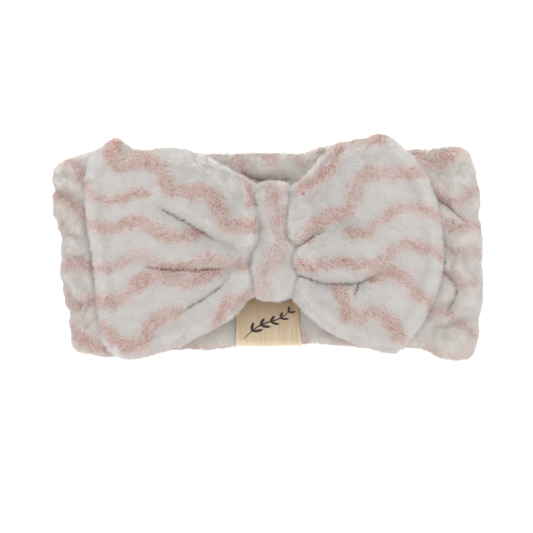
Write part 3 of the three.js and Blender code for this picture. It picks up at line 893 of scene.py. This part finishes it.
def inflate(wing):
    """The wing's cover, blown up as cloth with its seam and root held, as a tree to cast rays at."""
    plan, edge = wing_plan(wing, columns=44, rows=52)
    plain = dict(wing, creases=[])
    cover = [wing_surface(plain, plan, edge, upper) for upper in (True, False)]
    for side in cover:
        side[..., 2] = WING_SEAM_Z + (side[..., 2] - WING_SEAM_Z) * SLACK
    cushion = shell("cushion", cover[0] * SIMULATION_SCALE, cover[1] * SIMULATION_SCALE, WADDING)
    remesh = cushion.modifiers.new("remesh", "REMESH")
    remesh.mode = "VOXEL"
    remesh.voxel_size = VOXEL * MM * SIMULATION_SCALE
    with bpy.context.temp_override(object=cushion, active_object=cushion):
        bpy.ops.object.modifier_apply(modifier="remesh")
    points = mesh_points(cushion.data)[:, :2] / SIMULATION_SCALE
    held = (to_path(points, edge[::3])[0] < HELD_WIDTH) | (beside_knot(wing, points) < HELD_WIDTH)
    cushion.vertex_groups.new(name="held").add(np.nonzero(held)[0].tolist(), 1.0, "REPLACE")
    tree = blow_up(cushion)
    mesh = cushion.data
    bpy.data.objects.remove(cushion)
    bpy.data.meshes.remove(mesh)
    return tree


def blow_up(cushion):
    """Simulates a cushion as cloth with air pressed into it, and returns its final faces as a tree."""
    cloth = cushion.modifiers.new("cloth", "CLOTH")
    cloth.collision_settings.use_collision = False
    settings = cloth.settings
    settings.use_pressure = True
    settings.uniform_pressure_force = PRESSURE
    settings.effector_weights.gravity = 0
    settings.vertex_group_mass = "held"
    settings.quality = 6
    for frame_number in range(1, SIMULATION_FRAMES + 1):
        bpy.context.scene.frame_set(frame_number)
    stuffed = cushion.evaluated_get(bpy.context.evaluated_depsgraph_get()).to_mesh()
    corners = mesh_points(stuffed) / SIMULATION_SCALE
    tree = BVHTree.FromPolygons(corners.tolist(), [polygon.vertices[:] for polygon in stuffed.polygons])
    bpy.context.scene.frame_set(1)
    return tree


def cover_heights(tree, xy):
    """How high the stuffed cover is above the seam at points in the plane. Not a number outside it."""
    hits = (tree.ray_cast((x, y, 200.0), (0.0, 0.0, -1.0))[0] for x, y in xy)
    return np.array([hit.z - WING_SEAM_Z if hit else np.nan for hit in hits])


def wing_surface(wing, plan, edge, upper=True, shrink=0.0):
    """The skin of a wing above or below its seam, over the plan."""
    xy = plan.reshape(-1, 2)
    from_edge = to_path(xy, edge[::3])[0]
    along = wing_share(wing, xy[:, 0])
    round_width = 17 if upper else 8
    profile = np.sqrt(1 - (1 - np.clip(from_edge / round_width, 0, 1)) ** 2)
    seam = WING_SEAM_Z - WING_SEAM_DROP * along**2
    seed = 11 if wing["side"] < 0 else 23
    if upper:
        beside = beside_knot(wing, xy)
        height = np.minimum(np.interp(along, *WING_HEIGHTS), np.interp(beside, *ROOT_HEIGHTS))
        soft = 0.9 * ripples(xy, 30, seed) + 0.35 * ripples(xy, 12, seed + 1)
        lift = (height + soft) * profile
        if wing.get("cover"):
            stuffed = cover_heights(wing["cover"], xy)
            share = np.where(np.isnan(stuffed), 0, ease((from_edge - 2) / 7) * ease((beside - 1) / 12))
            lift = lift * (1 - share) + np.nan_to_num(stuffed) * share
        depth = crease_depths(xy, wing["creases"])[0] * profile
        lift = np.maximum(lift - depth, 0.25 * lift)
        z = seam + 0.15 + np.maximum(lift - shrink, 0.1 * lift)
    else:
        soft = 0.3 * ripples(xy, 18, seed + 2)
        z = seam - 0.15 - np.maximum((2.6 + soft) * profile - shrink, 0)
    return np.column_stack([xy, z]).reshape(*plan.shape[:2], 3)


def wing_weights(wing, points):
    """0 beside the knot, where a wing is held, and 1 where it follows its own body."""
    root = KNOT_LOW[0] if wing["side"] < 0 else KNOT_HIGH[0]
    return ease((wing["side"] * (points[..., 0] - root) - 3) / 26)


def wing_skins(wing, plan, edge, seed):
    """The skins of a wing's front and back panels, with what the pile on them needs."""
    side, xy = wing["side"], plan.reshape(-1, 2)
    front = wing_surface(wing, plan, edge)
    back = wing_surface(wing, plan, edge, upper=False)
    pink = painted(xy, wing["stripes"], seed).reshape(plan.shape[:2])
    fold = crease_depths(xy, wing["creases"])[1].reshape(plan.shape[:2])
    nap = np.broadcast_to(np.array([side * 0.8, -0.6, 0.0]), front.shape)
    weight = wing_weights(wing, front)
    dense, thin = WING_PILE * (1 - 0.7 * fold), np.full(plan.shape[:2], HIDDEN_PILE)
    hidden_pink = zigzag(back[..., 0], back[..., 1], *WIDE_ZIGZAG)
    return [
        Surface(front, grid_normals(front) * side, pink, nap, dense, weight, fold),
        Surface(back, -grid_normals(back) * side, hidden_pink, nap, thin, weight, np.zeros_like(fold)),
    ]


def build_wing(wing):
    """Both fleece panels with their pile, the stuffing and the seam of one wing."""
    name = wing["name"]
    seed = 100 if wing["side"] < 0 else 200
    plan, edge = wing_plan(wing)
    skins = wing_skins(wing, plan, edge, seed)
    for part, skin in zip(("front", "back"), skins):
        panel = shell(f"{name}_{part}_fleece", skin.points, skin.points - SKIN * skin.normals, FLEECE)
        point_values(panel, "pink", np.tile(skin.pink.ravel(), 2))
        point_values(panel, "fold", np.tile(skin.fold.ravel(), 2))
        settle(panel, "front_half", name, np.tile(skin.weight.ravel(), 2))
        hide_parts(f"{name}_{part}")
    pile = grow_pile(name, skins, seed)
    for piece, weights in pile:
        settle(piece, "front_half", name, weights)
    stuffing = build_wadding(wing)
    build_wing_seam(wing, edge)


def build_wadding(wing):
    """The stuffing: the wing's own shape, a little smaller."""
    name = wing["name"]
    plan, edge = wing_plan(wing, columns=40, rows=40, distance=PILE_STAND + 5)
    upper = wing_surface(wing, plan, edge, shrink=SKIN + 1.4)
    lower = wing_surface(wing, plan, edge, upper=False, shrink=SKIN + 0.6)
    stuffing = shell(f"{name}_stuffing", upper, lower, WADDING)
    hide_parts(f"{name}_wadding")
    settle(stuffing, "front_half", name, wing_weights(wing, np.stack([upper, lower])))
    return stuffing


def build_wing_seam(wing, edge):
    """The line of stitches through both panels, just inside the wing's edge."""
    name = wing["name"]
    line = inset(edge, 1.6, (wing["side"] * WING_MIDDLE, 0))[::2]
    line = np.column_stack([line, WING_SEAM_Z - WING_SEAM_DROP * wing_share(wing, line[:, 0]) ** 2])
    stitches = stitch_paths(line, pitch=3.0, rise=0.3)
    seam = tubes(f"{name}_stitches", stitches, radius=0.2, material=THREAD, sides=5)
    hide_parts(f"{name}_seam")
    settle(seam, "front_half", name, wing_weights(wing, mesh_points(seam.data)))


# ---- The band ----

def loop_path(steps):
    """The loop's middle line: length so far, place, outward direction, and how far up an end fold it is."""
    straight = 2 * FOLD_START
    arc = np.pi * FOLD_RADIUS
    length = 2 * (straight + arc)
    s = np.linspace(0, length, steps, endpoint=False)
    x, z, out_x, out_z, rise = (np.zeros(steps) for _ in range(5))
    for i, along in enumerate(s):
        if along < straight:
            x[i], z[i], out_z[i] = along - FOLD_START, BACK_Z, -1
            rise[i] = -max(0, FOLD_START - abs(x[i]))
        elif along < straight + arc:
            angle = (along - straight) / FOLD_RADIUS - np.pi / 2
            out_x[i], out_z[i] = math.cos(angle), math.sin(angle)
            rise[i] = along - straight
        elif along < 2 * straight + arc:
            x[i], z[i], out_z[i] = FOLD_START - (along - straight - arc), FRONT_Z, 1
            rise[i] = arc + max(0, FOLD_START - abs(x[i]))
        else:
            angle = np.pi / 2 + (along - 2 * straight - arc) / FOLD_RADIUS
            out_x[i], out_z[i] = math.cos(angle), math.sin(angle)
            rise[i] = arc - (along - 2 * straight - arc)
        if out_x[i]:
            x[i] = math.copysign(FOLD_START, out_x[i]) + FOLD_RADIUS * out_x[i]
            z[i] = BACK_Z + FOLD_RADIUS * (1 + out_z[i])
    return s, x, z, out_x, out_z, rise


def loop_weights(rise):
    """How far the loop's points follow its front half, by their way up the end fold."""
    margin = 16
    return ease((rise + margin) / (np.pi * FOLD_RADIUS + 2 * margin))


def band_edges(x, front):
    """The band's upper and lower edge along the loop, and how much the knot gathers it."""
    corner = CORNER * (1 - np.sqrt(1 - np.clip((np.abs(x) - (LOOP_END - CORNER)) / CORNER, 0, 0.97) ** 2))
    upper = np.interp(x, *UPPER_EDGE) - PILE_STAND - corner
    lower = np.interp(x, *LOWER_EDGE) + PILE_STAND + corner
    wave = 0.4 * ripples(np.column_stack([x, 40.0 * front]), 22, 5)
    spread = ease((np.abs(x - KNOT_MIDDLE[0]) - GATHERED_HALF) / GATHERS_REACH)
    upper = np.where(front, BAND_WAIST + (upper - BAND_WAIST) * spread, upper)
    lower = np.where(front, -BAND_WAIST + (lower + BAND_WAIST) * spread, lower)
    return upper + wave, lower - wave, np.where(front, 1 - spread, 0)


def end_shift(x, y):
    """How far the loop is moved to the right near its ends, fading out towards its middle."""
    shift = np.where(x < 0, np.interp(y, *LEFT_SHIFT), np.interp(y, *RIGHT_SHIFT))
    unmoved, reach = 40, 60
    return shift * ease((np.abs(x) - unmoved) / reach)


def band_skin():
    """The sleeve's skin as a grid: along the loop, then round the sleeve."""
    s, x, z, out_x, out_z, rise = loop_path(BAND_STEPS)
    upper, lower, pinch = band_edges(x, z > HALFWAY_Z)
    around, facing = section(BAND_SIDES, 9)
    y = ((upper + lower) / 2)[:, None] + ((upper - lower) / 2)[:, None] * around
    thickness = BAND_SKIN_HALF * (1 - 0.12 * pinch)[:, None] * facing
    pleats = pinch[:, None] * 0.8 * np.cos(around * KNOT_PLEATS) * np.abs(facing)
    fabric = np.stack([np.broadcast_to(s[:, None], y.shape), y], axis=-1)
    gather = 0.5 * (1 + np.sin(fabric[..., 0] * (2 * np.pi / PUCKER_PITCH) + 2.2 * ripples(fabric, 22, 31)))
    gather *= np.clip(0.55 + 0.6 * ripples(fabric, 17, 33), 0, 1.2)
    pucker = PUCKER_DEPTH * gather * np.exp(-((np.abs(y) / PUCKER_HALF) ** 3))
    pucker *= np.abs(facing) * (1 - pinch)[:, None]
    soft = 0.5 * (1 + ripples(fabric, 16, 37)) * np.abs(facing)
    off = thickness + np.sign(facing) * (0.9 - np.clip(pucker + soft - pleats, -0.8, 2.8))
    points = np.stack([x[:, None] + out_x[:, None] * off, y, z[:, None] + out_z[:, None] * off], axis=-1)
    points[..., 0] += end_shift(points[..., 0], y)
    return points, np.abs(off), facing, rise, s


def press_creases(points, normals, off, chosen):
    """Sinks the band's creases into the chosen points along their normals, but not into the elastic."""
    flat = points[chosen]
    room = off[chosen] - np.where(np.abs(flat[:, 1]) < ELASTIC_HIGH[1] + 2, 1.6, 0.5)
    depth, folded = crease_depths(flat[:, :2], BAND_CREASES + BAND_LUMPS)
    points[chosen] = flat - normals[chosen] * np.minimum(depth, room)[:, None]
    fold = np.zeros(points.shape[:2])
    fold[chosen] = folded
    return fold


def band_pink(points, facing, s):
    """Stripes round the loop. Its elastic gathers them, so their zigzags are close together."""
    x, y, z = np.moveaxis(points, -1, 0)
    along = np.broadcast_to(s[:, None], y.shape) + 1.5 * ripples(points, 20, 41)
    outer = zigzag(along, y, period=19, swing=4.5, start=0.28)
    inner = zigzag(along, y, period=16.3, swing=3.6, start=0.05)
    pink = np.where(facing >= 0, outer, inner)
    seen_end = (facing >= 0) & (np.abs(x) > 68) & (z > BACK_Z)
    seen_strip = (facing < 0) & (np.abs(y) > 26) | (np.abs(y) > 44) & (z > BACK_Z)
    seen_strip &= (np.abs(x) < 50) & (z < HALFWAY_Z)
    pink[seen_end] = painted(points[seen_end][:, :2], END_STRIPES, 71, edge=6.5)
    pink[seen_strip] = painted(points[seen_strip][:, :2], STRIP_STRIPES, 73, edge=6)
    return pink


def creased_places(points, facing):
    """Where the creases are pressed in: the loop's ends, and the strip above the knot."""
    x, y, z = np.moveaxis(points, -1, 0)
    ends = (np.abs(x) > 66) & (facing > 0) & (z > BACK_Z + 3)
    strip = (np.abs(x) < 30) & (facing < 0) & (z < HALFWAY_Z) & (y > 30)
    return ends | strip


def build_band():
    """The sleeve's skin and its pile, round the whole loop."""
    points, off, facing, rise, s = band_skin()
    fold = press_creases(points, ring_normals(points), off, creased_places(points, facing))
    normals = ring_normals(points)
    pink = band_pink(points, facing, s)
    weights = np.repeat(loop_weights(rise)[:, None], BAND_SIDES, axis=1)
    band = ring("band_fleece", points, FLEECE)
    point_values(band, "pink", pink)
    point_values(band, "fold", fold)
    settle(band, "back_half", "front_half", weights)
    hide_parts("back_sleeve", "front_sleeve", "left_end_fold", "right_end_fold")

    points, normals, pink, weights, fold = map(closed_grid, (points, normals, pink, weights, fold))
    nap = np.broadcast_to(np.array([0.5, -0.8, 0.0]), points.shape)
    density = band_density(points) * (1 - 0.7 * fold)
    surface = Surface(points, normals, pink, nap, density, weights, fold)
    # The band's white pile takes the warmer tones, painted warm shade under the bow.
    for piece, piece_weights in grow_pile("band", [surface], 300, whites=WARM_SHADE_PILE):
        settle(piece, "back_half", "front_half", piece_weights)


def band_density(points):
    """Full pile where the band can be seen, less under the bow and underneath, and none under the label."""
    x, y, z = np.abs(points[..., 0]), points[..., 1], points[..., 2]
    density = np.full(x.shape, HIDDEN_PILE)
    density[(x > 70) & (z > 8)] = BAND_PILE
    density[(z > BACK_Z) & (z < FRONT_LOW[2]) & (x < 45) & (np.abs(y) > 20)] = BAND_PILE
    density[np.abs(y) > 46] = EDGE_PILE
    density[(x < 14) & (y < -20) & (z > BACK_Z - 3) & (z < FRONT_LOW[2])] = 0.0
    return density


# ---- The elastic and its tacks ----

def elastic_faces():
    """The elastic's two faces, from tack to tack round the back, and how far up the folds they are."""
    s, x, z, out_x, out_z, rise = loop_path(300)
    gap = (z > FRONT_Z - 0.5) & (np.abs(x) < TACK_REACH)
    past_gap = (s - s[np.argmax(gap)]) % (s[-1] + s[1])
    order = np.argsort(np.where(gap, np.inf, past_gap), kind="stable")[: (~gap).sum()]
    s, x, z, out_x, out_z, rise = (f[order][:, None] for f in (s, x, z, out_x, out_z, rise))
    low, high = (ELASTIC_LOW - ELASTIC_HIGH) / 2, (ELASTIC_HIGH - ELASTIC_LOW) / 2
    y = np.linspace(low[1], high[1], ELASTIC_THREADS)
    crimp = 0.35 * np.sin(s * 2 * np.pi / 6) * np.ones(ELASTIC_THREADS)
    faces = []
    for offset in (high[2], low[2]):
        off = crimp + offset
        face = np.stack([x + out_x * off, np.broadcast_to(y, off.shape), z + out_z * off], axis=-1)
        face[..., 0] += end_shift(face[..., 0], face[..., 1])
        face[..., 0] *= 1 - 0.012 * np.abs(out_x)
        faces.append(face)
    return faces, rise[:, 0]


def build_elastic():
    """One strip of woven elastic, from the left tack round the back to the right tack."""
    faces, rise = elastic_faces()
    strip = shell("elastic_strip", *faces, ELASTIC)
    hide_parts("back_elastic", "left_end_elastic", "right_end_elastic", "left_front_elastic",
                "right_front_elastic")
    weights = np.tile(np.repeat(loop_weights(rise), ELASTIC_THREADS), 2)
    settle(strip, "back_half", "front_half", weights)
    for side, name in ((-1, "left"), (1, "right")):
        x = np.full(40, side * (TACK_REACH - 1.5))
        line = np.column_stack([x, np.linspace(-18, 18, 40), np.full(40, FRONT_Z)])
        stitches = stitch_paths(line, pitch=2.2, share=0.8, rise=0.7)
        tack = tubes(f"{name}_tack_stitches", stitches, radius=0.25, material=THREAD)
        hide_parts(f"{name}_elastic_tack")
        settle(tack, "front_half")


# ---- The label ----

def label_section():
    """The label's line from its top edge down its face and round the band's lower edge: y, z and outward."""
    flat_z = LABEL_HIGH[2] - 0.25
    radius = flat_z - BACK_Z
    turn_y = LABEL_LOW[1] + radius + 0.25
    flat = LABEL_HIGH[1] - turn_y
    arc = radius * 0.62 * np.pi
    s = np.linspace(0, flat + arc, 200)
    angle = np.pi / 2 + np.clip(s - flat, 0, None) / radius
    y = np.where(s < flat, LABEL_HIGH[1] - s, turn_y + radius * np.cos(angle))
    z = np.where(s < flat, flat_z, BACK_Z + radius * np.sin(angle))
    return s, y, z, np.cos(angle), np.sin(angle)


def label_points(across, down, off):
    """Points on the label: across it in millimetres, down it from its top edge, and off its surface."""
    s, *fields = label_section()
    y, z, out_y, out_z = (np.interp(down, s, field) for field in fields)
    wave = 0.28 * np.sin(across * 0.32 + 0.9) * np.exp(-down / 22)
    wave = wave + 0.16 * np.sin(down * 0.45 + across * 0.2)
    lift = off + wave + 0.2
    x = across * (1.02 + 0.003 * down) + 0.04 * down
    return np.stack([x, y + out_y * lift, z + out_z * lift], axis=-1)


def build_label():
    """A satin ribbon with woven edges, a small printed sprig and a row of stitches down each side."""
    half = (LABEL_HIGH[0] - LABEL_LOW[0]) / 2
    length = label_section()[0][-1]
    across, down = np.meshgrid(np.linspace(-half, half, 50), np.linspace(0, length, 60), indexing="ij")
    edge = 0.12 * (np.abs(across) > half - 0.8)
    face = label_points(across, down, 0.18 + edge)
    back = label_points(across, down, -0.12 - edge)
    label = shell("label_ribbon", face, back, SATIN)
    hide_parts("satin_label")
    settle(label, "back_half")
    for side, name in ((-1, "label_stitches_left"), (1, "label_stitches_right")):
        line = label_points(np.full(60, side * (half - 2)), np.linspace(1.5, length - 9, 60), 0.2)
        stitches = stitch_paths(line, pitch=2.6, rise=0.25)
        row = tubes(f"{name}_thread", stitches, radius=0.16, material=LABEL_THREAD, sides=5)
        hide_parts(name)
        settle(row, "back_half")
    build_sprig()


def leaf(start, heading, turn, reach):
    """A leaf's middle line, from the stem outwards. It bends back towards the stem's heading."""
    path = [start]
    for k in range(1, 13):
        angle = heading + turn * (0.85 - 0.5 * k / 12)
        path.append(path[-1] + reach / 12 * np.array([math.cos(angle), math.sin(angle)]))
    return np.array(path)


def build_sprig():
    """A plain leafy sprig printed across the label: a curved stem with pairs of small leaves."""
    stem = smooth_path([(-12, 27), (-6.5, 21.5), (-1, 18.5), (6, 16), (12.5, 11)], 60)
    strokes = [stroke(stem, 0.8)]
    for share in np.linspace(0.2, 0.9, 5):
        start, after = evenly(stem, np.array([share, min(1, share + 0.02)]))
        heading = math.atan2(after[1] - start[1], after[0] - start[0])
        for turn, size in ((1, 1.0), (-1, 0.85)):
            path = leaf(start, heading, turn, (6.0 - 2.4 * share) * size)
            strokes.append(stroke(path, 1.7 - 0.6 * share))
    points, faces = [], []
    for stroke_points, stroke_faces in strokes:
        faces += (stroke_faces + len(points)).tolist()
        points += stroke_points.tolist()
    sprig = make_mesh("label_sprig", points, faces, [PRINT], smooth=False)
    settle(sprig, "back_half")


def stroke(path, width):
    """A thin closed brush stroke on the label, pointed at both ends, along a path of (across, down)."""
    along = unit(np.gradient(path, axis=0))
    normal = np.column_stack([-along[:, 1], along[:, 0]])
    swell = np.sin(np.pi * np.linspace(0.03, 0.97, len(path))) ** 0.7 * width / 2
    corners = []
    for side, off in ((1, 0.26), (-1, 0.26), (-1, 0.16), (1, 0.16)):
        p = path + side * normal * swell[:, None]
        corners.append(label_points(p[:, 0], p[:, 1], np.full(len(p), off)))
    grid = np.stack(corners, axis=1)
    faces = grid_faces(len(path), 4, closed=(False, True))
    last = 4 * (len(path) - 1)
    caps = np.array([[0, 1, 2, 3], [last + 3, last + 2, last + 1, last]])
    return grid.reshape(-1, 3), np.vstack([faces, caps])


# ---- The knot and what it holds ----

def knot_path(count):
    """The wrap's middle line in Y and Z, closed, as a rectangle with round corners."""
    low = KNOT_LOW + np.array([0, 6.2, 2.6])
    high = KNOT_HIGH - np.array([0, 4.6, 4.2])
    radius = 9.0
    near, below = low[1:] + radius
    far, above = high[1:] - radius
    path = []
    for quarter, (y, z) in enumerate([(far, above), (near, above), (near, below), (far, below)]):
        for angle in (quarter + np.linspace(0, 1, 12)) * np.pi / 2:
            path.append((y + radius * math.cos(angle), z + radius * math.sin(angle)))
    path.append(path[0])
    return evenly(np.array(path), np.linspace(0, 1, count, endpoint=False))


def knot_skin(steps=190, sides=60):
    """The knot's skin as a grid: along the wrap, then round the strip."""
    path = knot_path(steps)
    y, z = path.T
    along = unit(np.roll(path, -1, axis=0) - np.roll(path, 1, axis=0))
    out_y, out_z = along[:, 1:], -along[:, :1]
    on_top = ease((z - KNOT_MIDDLE[2]) / 10)
    left, right = knot_edges(y, on_top)
    half_width = (right - left) / 2 + 0.5 * ripples(path, 14, 51)
    centre = (left + right) / 2 + 0.3 * ripples(path, 30, 53) * on_top
    around, facing = section(sides, 3.4)
    dome = 1.5 * np.cos(around * np.pi / 2)[None, :] * (facing > 0) * (0.1 + 1.1 * on_top[:, None])
    fold = 0.35 * np.cos(around[None, :] * 7 + 0.1 * y[:, None]) * (facing > 0.2)
    off = 1.7 * facing[None, :] + dome * np.abs(facing) + fold * np.abs(facing)
    x = centre[:, None] + half_width[:, None] * around[None, :]
    return np.stack([x, y[:, None] + out_y * off, z[:, None] + out_z * off], axis=-1), z[:, None]


def build_knot():
    """A soft strip of fleece, wrapped round the waist and fuller in the middle of its front."""
    points, z = knot_skin()
    knot = ring("knot_fleece", points, FLEECE)
    front = painted(points[..., :2].reshape(-1, 2), [KNOT_STRIPE], 61).reshape(points.shape[:2])
    rest = zigzag(z, points[..., 0], period=24, swing=5, start=0.3)
    pink = np.where(z > KNOT_MIDDLE[2], front, rest)
    point_values(knot, "pink", pink)
    settle(knot, "front_half")
    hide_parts("knot_wrap")
    points, normals, pink = map(closed_grid, (points, ring_normals(points), pink))
    nap = np.broadcast_to(np.array([0.2, -0.9, 0.0]), points.shape)
    density = np.where((normals[..., 2] < -0.2) & (points[..., 2] > 20), 0.0, BAND_PILE)
    unmoved = np.zeros_like(pink)
    surface = Surface(points, normals, pink, nap, density, unmoved, unmoved)
    # Painted light: shift=-0.2 moves the knot's pile towards the stripes' edge tones, so the top of the bow
    # comes out paler.
    for piece, _ in grow_pile("knot", [surface], 400, shift=-0.2):
        settle(piece, "front_half")


def squircle(angle, power):
    """Across and up a rounded square, at angles round it."""
    across, up = np.cos(angle), np.sin(angle)
    corner = (np.abs(across) ** power + np.abs(up) ** power) ** (-1 / power)
    return corner * across, corner * up


def build_waist():
    """The bow's gathered waist, its gathering thread and the stitches that close the knot."""
    low, high = box_mm("bow_waist")
    middle, half = (low + high) / 2, (high - low) / 2
    turn = np.linspace(0, 2 * np.pi, 120, endpoint=False)
    x = np.linspace(middle[0] - 6, middle[0] + 5, 24)
    swell = 0.9 + 0.1 * np.abs(np.linspace(-1, 1, 24)) ** 2
    pleat = 1 - 0.09 * (1 + np.cos(turn * 13))
    across, up = (swell[:, None] * (side * pleat) for side in squircle(turn, 4))
    x = np.broadcast_to(x[:, None], across.shape)
    outer, inner = (
        np.stack([x, middle[1] + half[1] * across * wide, middle[2] + half[2] * up * tall], axis=-1)
        for wide, tall in ((1, 1), (0.9, 0.8))
    )
    grid = np.concatenate([outer, inner[::-1]], axis=0)
    waist = ring("bow_waist_fleece", grid, FLEECE)
    point_values(waist, "pink", zigzag(grid[..., 0], grid[..., 1], *WIDE_ZIGZAG))
    settle(waist, "front_half")
    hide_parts("bow_waist")
    build_gathering_thread()
    build_closing_stitches()


def build_gathering_thread(turns=6):
    """Turns of thread wound round the waist."""
    low, high = box_mm("gathering_thread")
    middle, half = (low + high) / 2, (high - low) / 2 - 0.3
    angle = np.linspace(0, 2 * np.pi * turns, 90 * turns)
    across, up = squircle(angle, 5)
    x = np.linspace(low[0] + 0.4, high[0] - 0.4, len(angle))
    path = np.column_stack([x, middle[1] + half[1] * across, middle[2] + half[2] * up])
    winding = tubes("gathering_winding", [path], radius=0.24, material=THREAD)
    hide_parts("gathering_thread")
    settle(winding, "front_half")


def build_closing_stitches(count=9):
    """Slanting hand stitches that close the wrap on the side facing the head."""
    low, high = box_mm("knot_closing_stitches")
    t = np.linspace(0, 1, 8)
    y = low[1] - 0.6 + (high[1] - low[1] + 1.2) * t
    z = high[2] - 0.1 - 0.55 * np.sin(np.pi * t)
    starts = np.linspace(low[0] + 0.8, high[0] - 0.8, count)
    paths = [np.column_stack([x + 1.1 * (t - 0.5), y, z]) for x in starts]
    stitches = tubes("knot_closing_thread", paths, radius=0.22, material=THREAD)
    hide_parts("knot_closing_stitches")
    settle(stitches, "front_half")


# ---- Floor, lights and camera ----

def build_stage():
    """A plain pale floor, an even pale world, a softbox above and one on each side."""
    size, drop = 4000, 0.05
    corners = [(-size, -size, -drop), (size, -size, -drop), (size, size, -drop), (-size, size, -drop)]
    make_mesh("floor", corners, [[0, 1, 2, 3]], [floor_material()])
    world = bpy.data.worlds.new("soft_room")
    world.use_nodes = True
    background = world.node_tree.nodes["Background"]
    background.inputs["Color"].default_value = (1.0, 0.975, 0.955, 1)
    background.inputs["Strength"].default_value = WORLD_STRENGTH
    bpy.context.scene.world = world
    add_light("top_softbox", (-0.03, 0.12, 1.5), TOP_POWER)
    for x, y, power in SIDE_LIGHTS:
        add_light("side_softbox", (SIDE_DISTANCE * x, SIDE_DISTANCE * y, SIDE_HEIGHT), power)


def add_light(name, place, power):
    """A square softbox at a place in metres, turned to the origin."""
    light = bpy.data.lights.new(name, "AREA")
    light.size = SOFTBOX
    light.energy = power
    lamp = add_object(name, light)
    lamp.location = place
    lamp.rotation_mode = "QUATERNION"
    lamp.rotation_quaternion = lamp.location.to_track_quat("Z", "Y")


def build_camera():
    """Straight above, far off, with the object a little above the picture's middle."""
    camera = bpy.data.cameras.new("camera")
    camera.sensor_width = 36
    camera.lens = 200
    distance = VIEW_WIDTH * camera.lens / camera.sensor_width
    eye = add_object("camera", camera)
    eye.location = (0.0, VIEW_Y, VIEW_Z + distance)
    bpy.context.scene.camera = eye


def set_colours():
    """Plain display colours, so that white paper comes out white."""
    bpy.context.scene.view_settings.view_transform = "Standard"
    bpy.context.scene.view_settings.look = "None"


build_camera()
build_stage()
set_colours()
build_band()
build_elastic()
build_label()
build_knot()
build_waist()
for wing in (LEFT_WING, RIGHT_WING):
    wing["cover"] = inflate(wing)
    build_wing(wing)
